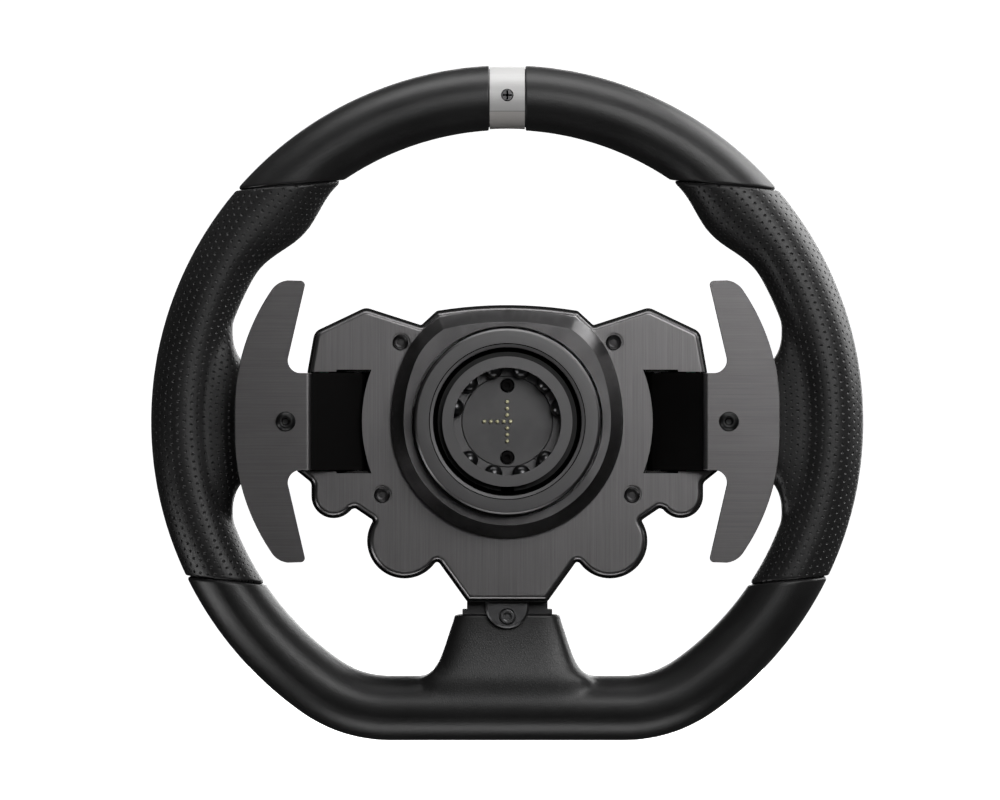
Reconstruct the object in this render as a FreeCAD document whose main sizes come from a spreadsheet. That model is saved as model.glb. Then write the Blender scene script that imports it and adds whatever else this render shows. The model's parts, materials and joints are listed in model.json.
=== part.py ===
"""Sim-racing steering wheel: a D-shaped leather rim on an aluminium core, a button box with a brushed
rear plate, two rocking shift paddles and a ball-lock quick release with spring contacts.

Frame: +Z is up, +Y points along the steering axis towards the driver, and the origin is on that axis at
the rear rim of the quick-release socket. Millimetres throughout.
"""

import FreeCAD, Part
import math
import os
import re

import Sketcher

V = FreeCAD.Vector
TURN_TO_Y = FreeCAD.Rotation(V(1, 0, 0), -90)  # carries a primitive's +Z onto +Y

doc = FreeCAD.newDocument("steering_wheel")

# ---------------------------------------------------------------- driving dimensions
SIZES = {
    # rim
    "wheel_r": 140.0, "tube_width": 25.7, "tube_depth": 29.0, "rim_y": 44.0, "flat_drop": 125.3,
    "corner_r": 59.7, "leather_thick": 1.4, "core_r": 5.0, "seam_gap": 0.4,
    "upper_seam_x": 85.0, "upper_seam_z": 92.7, "upper_seam_tilt": 3.6,
    "lower_seam_x": 110.0, "lower_seam_z": -62.3, "lower_seam_tilt": 4.3,
    "thumb_angle": 47.0, "thumb_ring_r": 122.4, "thumb_radial": 14.0, "thumb_length": 25.0,
    "thumb_depth": 13.4, "band_width": 13.8, "band_thin": 0.6,
    "band_screw_z": 127.9, "band_screw_r": 2.4,
    # spokes
    "arm_half": 14.0, "arm_thick": 3.5, "lower_arm_half": 12.0, "arm_disc_r": 40.0,
    "spoke_half": 18.0, "spoke_depth": 17.0, "spoke_flare": 16.0, "spoke_end_x": 85.2,
    "boot_top_z": -75.6, "boot_top_half": 20.3, "boot_depth": 21.4, "boot_flare": 22.0,
    "neck_half": 15.8, "neck_top_z": -68.6, "neck_step_z": -73.6, "collar_half": 17.6,
    "tab_half": 8.6, "tab_z": -72.5, "tab_y": 30.0, "tab_thick": 3.0, "tab_screw_z": -76.5,
    "tab_screw_r": 3.1,
    # housing
    "plate_y": 24.0, "plate_thick": 3.0, "plate_inset": 1.0, "plate_round": 1.6,
    "shell_front_y": 54.0, "shell_wall": 2.4, "shell_face": 2.0, "fascia_thick": 1.5,
    "fascia_inset": 1.3, "lobe_x": 68.0, "lobe_z": -29.2, "lobe_r": 8.7,
    "big_lobe_x": 40.2, "big_lobe_z": -46.8, "big_lobe_r": 14.7,
    "post_r": 4.0, "plate_hole_r": 3.85, "plate_hole_depth": 1.5, "plate_screw_r": 2.0,
    "screw_upper_x": 41.7, "screw_upper_z": 31.0, "screw_lower_x": 48.9, "screw_lower_z": -28.7,
    "notch_r": 56.9, "notch_half": 20.3, "notch_step_x": 66.9, "notch_outer_half": 19.5,
    "board_y": 47.0, "board_thick": 1.6, "board_inset": 4.2,
    # hub
    "dome_y": 9.0, "dome_r": 45.4, "dome_bevel": 4.9, "dome_slope": 12.0, "dome_bore_r": 37.3,
    "dome_side_r": 66.0,
    "dome_top_z": 43.8, "dome_corner_x": 26.5, "dome_corner_z": 40.7, "dome_knee_z": 24.0,
    "socket_r": 21.0, "socket_outer_r": 25.4, "socket_relief_r": 21.7, "socket_floor_y": 12.0,
    "lip_length": 4.0, "flange_r": 36.6, "flange_y": 24.0, "flange_thick": 5.0, "floor_bore_r": 17.95,
    "cable_bore_r": 10.5,
    "ball_r": 3.6, "ball_ring_r": 21.1, "ball_y": 8.0, "ball_pocket_r": 3.72,
    "sleeve_y": 1.0, "sleeve_r": 36.3, "sleeve_inner_r": 28.7, "sleeve_web_r": 25.6,
    "sleeve_web_y": 7.4, "sleeve_front_y": 13.0,
    "spring_wire_r": 0.6, "spring_coil_r": 27.3, "circlip_y": 5.2, "circlip_r": 27.2,
    "carrier_r": 40.0, "hub_screw_ring_r": 31.6, "hub_screw_r": 2.0, "hub_head_r": 3.5,
    "contact_r": 17.75, "contact_y": 11.7, "contact_end_y": 20.0, "contact_pitch": 2.57,
    "contact_screw_z": 14.1, "contact_pin_r": 0.72, "contact_sink_r": 2.85,
    # paddles
    "wing_y": 13.0, "wing_thick": 2.0, "wing_edge_r": 82.0, "wing_edge_offset": 5.0,
    "wing_tip_z": 55.2, "wing_outer_x": 106.5, "wing_bend_x": 77.3, "leg_half": 19.0,
    "leg_thick": 2.6, "leg_inner_x": 55.6, "pivot_x": 58.6, "pivot_y": 32.6, "pivot_r": 1.5,
    "barrel_r": 3.4, "paddle_screw_x": 86.6, "paddle_screw_r": 3.9,
    # controls
    "button_r": 5.6, "button_hole_gap": 0.3, "button_flange": 0.8, "button_top_y": 57.6,
    "small_button_r": 4.6, "stick_pivot_y": 51.0, "stick_dome_r": 7.0, "stick_cap_r": 6.8,
    "stick_hole_r": 8.4, "badge_r": 21.0,
}

sheet = doc.addObject("Spreadsheet::Sheet", "Sizes")
for row, (alias, value) in enumerate(SIZES.items(), start=1):
    sheet.set(f"A{row}", alias.replace("_", " "))
    sheet.set(f"B{row}", str(value))
    sheet.setAlias(f"B{row}", alias)
doc.recompute()


def size(alias):
    """A driving dimension as the sheet holds it."""
    return float(sheet.get(alias))


def bound(expression):
    """An expression on the aliases, with the sheet's name before each of them."""
    return re.sub(r"[a-z][a-z0-9_]*[a-z0-9_]", lambda m: f"Sizes.{m[0]}" if m[0] in SIZES else m[0],
                  str(expression))


def value_of(expression):
    """What a sum of aliases, numbers and their products comes to."""
    total, sign = 0.0, 1.0
    for token in re.findall(r"[+\-]|[^+\-\s]+", str(expression)):
        if token == "+":
            sign = 1.0
        elif token == "-":
            sign = -1.0
        else:
            product = 1.0
            for factor in token.split("*"):
                product *= size(factor) if factor in SIZES else float(factor)
            total += sign * product
            sign = 1.0
    return total


# ---------------------------------------------------------------- builders
PARTS = {}


def keep(label, thing):
    """Marks a document object as the sub-part with that name."""
    thing.Label = label
    PARTS[label] = thing
    return thing


def revolved(label, profile, at=V(0, 0, 0), rotation=FreeCAD.Rotation()):
    """A body turned about its own Y axis from a closed profile of (radius, y) expressions."""
    body = doc.addObject("PartDesign::Body", label)
    plane = next(f for f in body.Origin.OriginFeatures if f.Role == "XY_Plane")
    sketch = body.newObject("Sketcher::SketchObject", label + "_profile")
    sketch.AttachmentSupport = (plane, [""])
    sketch.MapMode = "FlatFace"
    corners = [V(value_of(r), value_of(y), 0) for r, y in profile]
    for i, corner in enumerate(corners):
        sketch.addGeometry(Part.LineSegment(corner, corners[(i + 1) % len(corners)]), False)
    for i in range(len(corners)):
        sketch.addConstraint(Sketcher.Constraint("Coincident", i, 2, (i + 1) % len(corners), 1))
    for i, (r, y) in enumerate(profile):
        for kind, expression, axis in (("DistanceX", r, -2), ("DistanceY", y, -1)):
            amount = value_of(expression)
            if abs(amount) < 1e-9:
                sketch.addConstraint(Sketcher.Constraint("PointOnObject", i, 1, axis))
            else:
                index = sketch.addConstraint(Sketcher.Constraint(kind, -1, 1, i, 1, amount))
                sketch.setExpression(f"Constraints[{index}]", bound(expression))
    turn = body.newObject("PartDesign::Revolution", label + "_turn")
    turn.Profile = sketch
    turn.ReferenceAxis = (sketch, ["V_Axis"])
    turn.Angle = 360
    body.Tip = turn
    body.Placement = FreeCAD.Placement(at, rotation)
    return body


def cylinder(name, radius, length, at, rotation=TURN_TO_Y):
    """A cylinder along +Y, or along the rotation's axis, with bound radius and length."""
    made = doc.addObject("Part::Cylinder", name)
    made.setExpression("Radius", bound(radius))
    made.setExpression("Height", bound(length))
    made.Placement = FreeCAD.Placement(at, rotation)
    return made


def box(name, x, y, z):
    """A box from x[0] to x[1] and so on, each an expression, so its sizes follow the sheet."""
    made = doc.addObject("Part::Box", name)
    for side, (low, high) in zip(("Length", "Width", "Height"), (x, y, z)):
        made.setExpression(side, bound(f"({high}) - ({low})"))
    made.Placement.Base = V(value_of(x[0]), value_of(y[0]), value_of(z[0]))
    return made


def cut(name, base, *tools):
    """base less the tools, which are fused first where there are several."""
    made = doc.addObject("Part::Cut", name)
    made.Base = base
    made.Tool = tools[0] if len(tools) == 1 else fuse(name + "_tools", *tools)
    return made


def fuse(name, *shapes):
    made = doc.addObject("Part::MultiFuse", name)
    made.Shapes = list(shapes)
    return made


def feature(name, shape):
    made = doc.addObject("Part::Feature", name)
    made.Shape = shape
    return made


def extruded(name, outline, length):
    """An outline in a plane of constant Y, pushed towards +Y by a bound length."""
    made = doc.addObject("Part::Extrusion", name)
    made.Base = outline
    made.DirMode = "Custom"
    made.Dir = V(0, 1, 0)
    made.Solid = True
    made.setExpression("LengthFwd", bound(length))
    return made


def both_sides(points):
    """A half outline for x > 0, given from the top down, closed by its mirror image."""
    return list(points) + [(-x, z, *rest) for x, z, *rest in reversed(points)]


def rounded_face(corners, y):
    """A flat face at that Y whose corners (x, z, radius) are rounded by tangent arcs."""
    points = [V(x, y, z) for x, z, _ in corners]
    starts, ends, arcs = [], [], []
    for i, (_, _, radius) in enumerate(corners):
        here, before, after = points[i], points[i - 1], points[(i + 1) % len(points)]
        u, w = (before - here).normalize(), (after - here).normalize()
        half = math.acos(max(-1.0, min(1.0, u.dot(w)))) / 2
        reach = radius / math.tan(half) if radius else 0.0
        start, end = here + u * reach, here + w * reach
        if radius:
            bisector = (u + w).normalize()
            middle = here + bisector * (radius / math.sin(half) - radius)
            arcs.append(Part.Arc(start, middle, end).toShape())
        else:
            arcs.append(None)
        starts.append(start)
        ends.append(end)
    edges = []
    for i, arc in enumerate(arcs):
        if arc:
            edges.append(arc)
        after = (i + 1) % len(arcs)
        if ends[i].distanceToPoint(starts[after]) > 1e-6:
            edges.append(Part.LineSegment(ends[i], starts[after]).toShape())
    return Part.Face(Part.Wire(Part.__sortEdges__(edges)))


def disc(x, z, radius, y):
    return Part.Face(Part.Wire(Part.makeCircle(radius, V(x, y, z), V(0, 1, 0))))


def upright_edges(shape, places):
    """The straight edges along Y that stand on the given (x, z) places."""
    found = []
    for edge in shape.Edges:
        a, b = edge.Vertexes[0].Point, edge.Vertexes[-1].Point
        if abs(a.x - b.x) < 1e-6 and abs(a.z - b.z) < 1e-6 and abs(a.y - b.y) > 1e-3:
            if any(math.hypot(a.x - x, a.z - z) < 0.9 for x, z in places):
                found.append(edge)
    return found


def mirrored(shape):
    return shape.mirror(V(0, 0, 0), V(1, 0, 0))


def face_in(shape, y):
    """The flat face of a prism that lies at that Y."""
    return next(f for f in shape.Faces if abs(f.CenterOfMass.y - y) < 1e-6 and abs(f.normalAt(0, 0).y) > 0.99)


# ---------------------------------------------------------------- rim
def rim_ring(half_width, half_depth):
    """The D-shaped ring: an ellipse turned about the wheel's centre, then about each lower corner's
    centre, and pushed straight across the flat."""
    middle_r = size("wheel_r") - size("tube_width") / 2
    corner_z = -(size("flat_drop") - size("corner_r"))
    corner_x = math.sqrt((size("wheel_r") - size("corner_r")) ** 2 - corner_z**2)
    corner_mid_r = size("corner_r") - size("tube_width") / 2
    arc_end = math.atan2(corner_x, -corner_z)  # from straight down
    long_side = max(half_width, half_depth)
    short_side = min(half_width, half_depth)

    def section(centre, outward):
        """The tube's ellipse at centre, in the plane of the outward direction and Y."""
        along = outward if half_width >= half_depth else V(0, 1, 0)
        across = V(0, 1, 0) if half_width >= half_depth else outward
        if abs(half_width - half_depth) < 1e-9:
            curve = Part.Circle(centre, outward.cross(V(0, 1, 0)), half_width)
        else:
            curve = Part.Ellipse(centre + along * long_side, centre + across * short_side, centre)
        return Part.Face(Part.Wire(curve.toShape()))

    y = size("rim_y")
    down = V(math.sin(arc_end), 0, -math.cos(arc_end))
    start = V(0, y, 0) + down * middle_r
    upper = section(start, down).revolve(V(0, y, 0), V(0, 1, 0), -(360 - 2 * math.degrees(arc_end)))
    corner = V(corner_x, y, corner_z)
    right = section(corner + V(0, 0, -corner_mid_r), V(0, 0, -1)).revolve(
        corner, V(0, 1, 0), -math.degrees(arc_end))
    flat = section(corner + V(0, 0, -corner_mid_r), V(0, 0, -1)).extrude(V(-2 * corner_x, 0, 0))
    return upper.fuse([right, mirrored(right), flat]).removeSplitter()


def seam_height(which, x):
    """Where the upper or lower leather seam's plane lies at x, for the right-hand side."""
    tilt = math.tan(math.radians(size(f"{which}_seam_tilt")))
    rise = -tilt if which == "upper" else tilt
    return size(f"{which}_seam_z") + rise * (abs(x) - size(f"{which}_seam_x"))


def window(points):
    """A prism through the whole depth of the rim, from its (x, z) corners."""
    wire = Part.makePolygon([V(x, 0, z) for x, z in points] + [V(points[0][0], 0, points[0][1])])
    return Part.Face(wire).extrude(V(0, 90, 0))


def spoke_flare():
    """The padded arm from the right-hand grip to the housing, flared by a fillet at the rim."""
    half, flare = size("spoke_half"), size("spoke_flare")
    inner_x, flare_x = size("spoke_end_x"), size("wheel_r") - size("tube_width") - 6.6
    end_x = size("wheel_r") - size("tube_width") / 2
    centre_x = flare_x - flare
    edges = [
        Part.LineSegment(V(inner_x, 0, half), V(centre_x, 0, half)),
        Part.Arc(V(centre_x, 0, half), V(centre_x + flare * math.sin(math.radians(45)), 0,
                 half + flare * (1 - math.cos(math.radians(45)))), V(flare_x, 0, half + flare)),
        Part.LineSegment(V(flare_x, 0, half + flare), V(end_x, 0, half + flare)),
        Part.LineSegment(V(end_x, 0, half + flare), V(end_x, 0, -half - flare)),
        Part.LineSegment(V(end_x, 0, -half - flare), V(flare_x, 0, -half - flare)),
        Part.Arc(V(flare_x, 0, -half - flare), V(centre_x + flare * math.sin(math.radians(45)), 0,
                 -half - flare * (1 - math.cos(math.radians(45)))), V(centre_x, 0, -half)),
        Part.LineSegment(V(centre_x, 0, -half), V(inner_x, 0, -half)),
        Part.LineSegment(V(inner_x, 0, -half), V(inner_x, 0, half)),
    ]
    low_y = size("rim_y") - size("spoke_depth") / 2
    plan = Part.Face(Part.Wire([e.toShape() for e in edges]))
    plan.translate(V(0, low_y, 0))
    return plan.extrude(V(0, size("spoke_depth"), 0))


def lower_boot():
    """The padded foot that flares from the lower spoke into the flat of the rim."""
    top, flare = size("boot_top_z"), size("boot_flare")
    floor_z = -(size("flat_drop") - size("tube_width")) - 0.6
    foot_half = size("boot_top_half") + 12.6
    deep = size("boot_depth") / 2
    y = size("rim_y")
    end_z = -(size("flat_drop") - size("tube_width") / 2)
    knee = (size("boot_top_half") + 6.3, top - 15.6)
    plan_edges = [
        Part.LineSegment(V(-size("boot_top_half"), 0, top), V(size("boot_top_half"), 0, top)),
        Part.Arc(V(size("boot_top_half"), 0, top), V(knee[0], 0, knee[1]), V(foot_half, 0, floor_z)),
        Part.LineSegment(V(foot_half, 0, floor_z), V(foot_half, 0, end_z)),
        Part.LineSegment(V(foot_half, 0, end_z), V(-foot_half, 0, end_z)),
        Part.LineSegment(V(-foot_half, 0, end_z), V(-foot_half, 0, floor_z)),
        Part.Arc(V(-foot_half, 0, floor_z), V(-knee[0], 0, knee[1]), V(-size("boot_top_half"), 0, top)),
    ]
    plan = Part.Face(Part.Wire([e.toShape() for e in plan_edges])).extrude(V(0, 90, 0))
    side_edges = [
        Part.LineSegment(V(0, y - deep, top), V(0, y + deep, top)),
        Part.Arc(V(0, y + deep, top), V(0, y + deep + 0.7, top - flare / 2), V(0, y + deep + 3.2, floor_z)),
        Part.LineSegment(V(0, y + deep + 3.2, floor_z), V(0, y + deep + 3.2, end_z)),
        Part.LineSegment(V(0, y + deep + 3.2, end_z), V(0, y - deep - 3.2, end_z)),
        Part.LineSegment(V(0, y - deep - 3.2, end_z), V(0, y - deep - 3.2, floor_z)),
        Part.Arc(V(0, y - deep - 3.2, floor_z), V(0, y - deep - 0.7, top - flare / 2), V(0, y - deep, top)),
    ]
    side = Part.Face(Part.Wire([e.toShape() for e in side_edges])).extrude(V(120, 0, 0))
    side.translate(V(-60, 0, 0))
    return plan.common(side)


def thumb_rest(shrink):
    """The right-hand thumb rest: an ellipsoid that stands in from the tube, smaller by shrink."""
    radial, length, depth = (size(a) - shrink for a in ("thumb_radial", "thumb_length", "thumb_depth"))
    ball = Part.makeSphere(1)
    scale = FreeCAD.Matrix()
    scale.scale(V(length, depth, radial))
    ball = ball.transformGeometry(scale)
    ball.rotate(V(0, 0, 0), V(0, 1, 0), size("thumb_angle"))
    angle = math.radians(size("thumb_angle"))
    ball.translate(V(math.sin(angle), 0, math.cos(angle)) * size("thumb_ring_r") + V(0, size("rim_y"), 0))
    return ball


def core_plate():
    """The flat spider that carries the rim's core: a disc with two side arms and a lower arm."""
    y, thick = size("rim_y") - size("arm_thick") / 2, size("arm_thick")
    middle_r = size("wheel_r") - size("tube_width") / 2
    plate = disc(0, 0, size("arm_disc_r"), y).extrude(V(0, thick, 0))
    side = Part.makeBox(2 * middle_r, thick, 2 * size("arm_half"), V(-middle_r, y, -size("arm_half")))
    drop = size("flat_drop") - size("tube_width") / 2
    lower = Part.makeBox(2 * size("lower_arm_half"), thick, drop, V(-size("lower_arm_half"), y, -drop))
    return plate.fuse([side, lower])


HALF_WIDTH, HALF_DEPTH = size("tube_width") / 2, size("tube_depth") / 2
SKIN, GAP = size("leather_thick"), size("seam_gap") / 2
outer_ring = rim_ring(HALF_WIDTH, HALF_DEPTH)
foam_ring = rim_ring(HALF_WIDTH - SKIN, HALF_DEPTH - SKIN)
core_ring = rim_ring(size("core_r"), size("core_r"))
spider = core_plate()
hub_screw_places = [
    (size("hub_screw_ring_r") * math.sin(math.radians(60 * i + 30)),
     size("hub_screw_ring_r") * math.cos(math.radians(60 * i + 30))) for i in range(6)]
core = core_ring.fuse(spider)
for x, z in hub_screw_places:
    core = core.cut(Part.makeCylinder(size("hub_screw_r"), 90, V(x, 0, z), V(0, 1, 0)))
tab_bolt = Part.makeCylinder(1.6, 90, V(0, 0, size("tab_screw_z")), V(0, 1, 0))
core = core.cut(tab_bolt)
keep("rim_core", feature("rim_core", core.removeSplitter()))

thumb_outer, thumb_inner = thumb_rest(0), thumb_rest(SKIN)
band_hole = Part.makeCylinder(size("band_screw_r") + 0.05, 12, V(0, 20, size("band_screw_z")), V(0, 1, 0))
foam = foam_ring.fuse([thumb_inner, mirrored(thumb_inner)]).cut(core_ring.fuse([spider, band_hole]))
keep("rim_foam", feature("rim_foam", max(foam.Solids, key=lambda s: s.Volume)))

band_half = size("band_width") / 2
skin_ring = outer_ring.cut(foam_ring)
upper_window = window([(band_half + GAP, 60), (band_half + GAP, 160), (160, 160),
                       (160, seam_height("upper", 160) + GAP),
                       (40, seam_height("upper", 40) + GAP), (40, 60)])
upper = skin_ring.common(upper_window).cut(window([(30, 0), (45, 0), (45, 99), (30, 99)]))
keep("upper_right_leather", feature("upper_right_leather", upper))
keep("upper_left_leather", feature("upper_left_leather", mirrored(upper)))

grip_window = window([(40, seam_height("upper", 40) - GAP), (160, seam_height("upper", 160) - GAP),
                      (160, seam_height("lower", 160) + GAP), (60, seam_height("lower", 60) + GAP)])
grip = outer_ring.fuse([thumb_outer, spoke_flare()]).common(grip_window)
grip = grip.cut(foam_ring.fuse([thumb_inner, spider])).removeSplitter()
keep("right_grip_leather", feature("right_grip_leather", max(grip.Solids, key=lambda s: s.Volume)))
keep("left_grip_leather",
     feature("left_grip_leather", mirrored(max(grip.Solids, key=lambda s: s.Volume))))

lower_window = window([(-160, seam_height("lower", 160) - GAP), (-60, seam_height("lower", 60) - GAP),
                       (60, seam_height("lower", 60) - GAP), (160, seam_height("lower", 160) - GAP),
                       (160, -160), (-160, -160)])
lower = outer_ring.common(lower_window).fuse(lower_boot()).cut(foam_ring.fuse([spider, tab_bolt]))
keep("lower_leather", feature("lower_leather", max(lower.Solids, key=lambda s: s.Volume)))

# the metal band at twelve o'clock: a rear and a front half, held by one screw
band_ring = rim_ring(HALF_WIDTH - size("band_thin"), HALF_DEPTH - size("band_thin")).cut(foam_ring)
band = band_ring.common(window([(-band_half, 60), (band_half, 60), (band_half, 160), (-band_half, 160)]))
rear_side = Part.makeBox(200, size("rim_y"), 200, V(-100, 0, 0))
keep("top_band_rear", feature("top_band_rear", band.common(rear_side).cut(band_hole)))
keep("top_band_front", feature("top_band_front", band.cut(rear_side)))
head_y = size("rim_y") - HALF_DEPTH + size("band_thin") - 0.1
band_bolt = revolved("top_band_screw", [("0", "0.9"), ("0.9", "0"), ("band_screw_r", "0"),
                                        ("band_screw_r", "0.6"), ("1.1", "1.3"), ("0", "1.3")],
                     at=V(0, head_y, size("band_screw_z")))
keep("top_band_screw", band_bolt)

# ---------------------------------------------------------------- housing outline
HALF_OUTLINE = [(27.6, 43.35, 0), (33.7, 37.75, 0.8), (55.45, 44.7, 4.5), (75.5, 35.15, 4.5),
                (84.3, -14.5, 3.0), (82.9, -19.0, 2.2), (76.7, -24.0, 2.5),
                (size("lobe_x") + size("lobe_r"), size("lobe_z"), 0), (size("lobe_x"), size("lobe_z"), 0),
                (64.0, -35.6, 0), (59.6, -33.95, 1.2), (50.5, -40.1, 0),
                (size("big_lobe_x"), size("big_lobe_z"), 0), (29.4, -51.6, 0), (15.7, -70.6, 1.5)]


def housing_prism():
    """The button box's outline, pushed along Y: a rounded polygon, four lobes and an arched top."""
    faces = [rounded_face(both_sides(HALF_OUTLINE), 0)]
    for x, z, r in ((size("lobe_x"), size("lobe_z"), size("lobe_r")),
                    (size("big_lobe_x"), size("big_lobe_z"), size("big_lobe_r"))):
        faces += [disc(x, z, r, 0), disc(-x, z, r, 0)]
    arch = Part.Arc(V(-27.6, 0, 43.35), V(0, 0, 45.6), V(27.6, 0, 43.35)).toShape()
    chord = Part.LineSegment(V(27.6, 0, 43.35), V(-27.6, 0, 43.35)).toShape()
    faces.append(Part.Face(Part.Wire([arch, chord])))
    solid = faces[0].fuse(faces[1:]).removeSplitter().extrude(V(0, 10, 0)).removeSplitter()
    for (x, z), radius in (((27.6, 43.35), 2.0), ((52.5, -38.7), 0.8), ((27.5, -54.2), 1.2)):
        solid = solid.makeFillet(radius, upright_edges(solid, [(x, z), (-x, z)]))
    return solid


outline_face = face_in(housing_prism(), 0)


def outline_at(name, inset, y):
    """The housing's outline, drawn in by inset, as a face at that Y."""
    face = outline_face if inset == 0 else outline_face.makeOffset2D(-inset, 2)
    face = face.copy()
    face.translate(V(0, y, 0))
    return feature(name, face)


# ---------------------------------------------------------------- rear plate and shell
plate_blank = extruded("plate_blank", outline_at("plate_outline", size("plate_inset"), size("plate_y")),
                       "plate_thick")
doc.recompute()
rear_rim = [e for e in face_in(plate_blank.Shape, size("plate_y")).Edges]
plate_round = feature("plate_rounded", plate_blank.Shape.makeFillet(size("plate_round"), rear_rim))


def notch(name, y, depth):
    """The clearance for a paddle's leg on both sides: a stepped slot that stops at an arc."""
    slots = []
    for sign in (1, -1):
        wide = Part.makeBox(200, depth, 2 * size("notch_half"), V(0, y, -size("notch_half")))
        trim = Part.makeBox(200, depth, 100, V(size("notch_step_x"), y, size("notch_outer_half")))
        lower_trim = Part.makeBox(200, depth, 100,
                                  V(size("notch_step_x"), y, -100 - size("notch_outer_half")))
        hub = Part.makeCylinder(size("notch_r"), depth, V(0, y, 0), V(0, 1, 0))
        slot = wide.cut(trim.fuse([lower_trim, hub]))
        slots.append(slot if sign > 0 else mirrored(slot))
    return feature(name, Part.makeCompound(slots))


def screw_posts():
    """The four housing screws' (x, z) places."""
    upper = (size("screw_upper_x"), size("screw_upper_z"))
    lower = (size("screw_lower_x"), size("screw_lower_z"))
    return [upper, lower, (-upper[0], upper[1]), (-lower[0], lower[1])]


plate_tools = [notch("plate_notches", size("plate_y") - 1, size("plate_thick") + 2),
               cylinder("plate_bore", "carrier_r + 0.3", "plate_thick + 2", V(0, size("plate_y") - 1, 0))]
for i, (x, z) in enumerate(screw_posts()):
    plate_tools.append(cylinder(f"plate_sink_{i}", "plate_hole_r", "plate_hole_depth + 1",
                                V(x, size("plate_y") - 1, z)))
    plate_tools.append(cylinder(f"plate_bolt_hole_{i}", "plate_screw_r + 0.3", "plate_thick + 2",
                                V(x, size("plate_y") - 1, z)))
keep("rear_plate", cut("rear_plate", plate_round, *plate_tools))

shell_y = size("plate_y") + size("plate_thick")
shell_block = extruded("shell_block", outline_at("shell_outline", 0, shell_y),
                       "shell_front_y - plate_y - plate_thick")
cavity = extruded("shell_cavity", outline_at("cavity_outline", size("shell_wall"), shell_y - 1),
                  "shell_front_y - plate_y - plate_thick - shell_face + 1")
FASCIA_SCREWS = [(31.0, 22.0), (72.5, -8.0), (17.5, -57.0)]
BUTTON_PLACES = [("upper_inner", 53.5, 33.0), ("upper_outer", 66.8, 28.8), ("lower_inner", 53.5, 18.0),
                 ("lower_outer", 66.8, 14.2)]
front_y = size("shell_front_y")


def control_holes(name, y, depth):
    """Clearance holes for the buttons, lobe buttons and sticks, on both sides."""
    holes = []
    for sign in (1, -1):
        for _, x, z in BUTTON_PLACES:
            holes.append(Part.makeCylinder(size("button_r") + size("button_hole_gap"), depth,
                                           V(sign * x, y, z), V(0, 1, 0)))
        holes.append(Part.makeCylinder(size("small_button_r") + size("button_hole_gap"), depth,
                                       V(sign * size("lobe_x"), y, size("lobe_z")), V(0, 1, 0)))
        holes.append(Part.makeCylinder(size("stick_hole_r"), depth,
                                       V(sign * size("big_lobe_x"), y, size("big_lobe_z")), V(0, 1, 0)))
    return feature(name, Part.makeCompound(holes))


posts = [cylinder(f"post_{i}", "post_r", "shell_front_y - plate_y - plate_thick", V(x, shell_y, z))
         for i, (x, z) in enumerate(screw_posts())]
post_bores = [cylinder(f"post_bore_{i}", "plate_screw_r", "18", V(x, shell_y - 1, z))
              for i, (x, z) in enumerate(screw_posts())]
ear_slot = box("ear_slot", ("-95", "95"), ("rim_y - 1.85", "rim_y + 1.85"), ("-14.1", "14.1"))
neck_slot = box("neck_slot", ("-neck_half - 0.1", "neck_half + 0.1"), ("32.9", "shell_front_y - 3"),
                ("-90", "-60"))
tab_slot = box("tab_slot", ("-tab_half - 0.2", "tab_half + 0.2"), ("tab_y - 0.1", "tab_y + tab_thick"),
               ("-90", "-60"))
fascia_bores = [cylinder(f"fascia_bore_{i}_{side + 1}", "1", "5", V(side * x, front_y - 4, z))
                for i, (x, z) in enumerate(FASCIA_SCREWS) for side in (1, -1)]
shell = cut("front_shell_hollow", shell_block, cavity)
shell = fuse("front_shell_with_posts", shell, *posts)
keep("front_shell", cut("front_shell", shell, *post_bores, *fascia_bores, ear_slot, neck_slot, tab_slot,
                        notch("shell_notches", shell_y - 1, 8.4),
                        control_holes("shell_control_holes", front_y - 6, 12)))

plate_bolts = []
for i, (x, z) in enumerate(screw_posts()):
    head = cylinder(f"plate_bolt_head_{i}", "plate_hole_r - 0.6", "0.9",
                    V(x, size("plate_y") + size("plate_hole_depth") - 0.9, z))
    shank = cylinder(f"plate_bolt_shank_{i}", "plate_screw_r", "plate_thick + 13",
                     V(x, size("plate_y") + size("plate_hole_depth") - 0.1, z))
    recess = cylinder(f"plate_bolt_recess_{i}", "1.3", "1.6",
                      V(x, size("plate_y") + size("plate_hole_depth") - 1.6, z))
    plate_bolts.append(cut(f"plate_bolt_{i}", fuse(f"plate_bolt_blank_{i}", head, shank), recess))
keep("rear_plate_screws", fuse("rear_plate_screws", *plate_bolts))

# front fascia, badge and shift-light lens
LENS = {"x": 31.0, "low": 33.0, "high": 38.0}
lens_slot = box("lens_slot", (str(-LENS["x"]), str(LENS["x"])), ("shell_front_y - 1", "shell_front_y + 4"),
                (str(LENS["low"]), str(LENS["high"])))
badge_sink = cylinder("badge_sink", "badge_r + 0.2", "4", V(0, front_y, 0))
fascia_holes = [cylinder(f"fascia_hole_{i}_{side + 1}", "1.6", "4", V(side * x, front_y - 1, z))
                for i, (x, z) in enumerate(FASCIA_SCREWS) for side in (1, -1)]
fascia_blank = extruded("fascia_blank", outline_at("fascia_outline", size("fascia_inset"), front_y),
                        "fascia_thick")
keep("front_fascia", cut("front_fascia", fascia_blank, lens_slot, badge_sink, *fascia_holes,
                         control_holes("fascia_control_holes", front_y - 1, 6)))
keep("centre_badge", revolved("centre_badge", [("0", "0"), ("badge_r", "0"), ("badge_r", "1.6"),
                                               ("badge_r - 1.2", "2.6"), ("badge_r - 2.4", "2.6"),
                                               ("badge_r - 3.2", "2.0"), ("0", "2.0")], at=V(0, front_y, 0)))
lens = box("lens_body", (f"{-LENS['x'] + 0.15}", f"{LENS['x'] - 0.15}"),
           ("shell_front_y", "shell_front_y + fascia_thick + 0.3"),
           (f"{LENS['low'] + 0.15}", f"{LENS['high'] - 0.15}"))
keep("shift_light_lens", lens)
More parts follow.
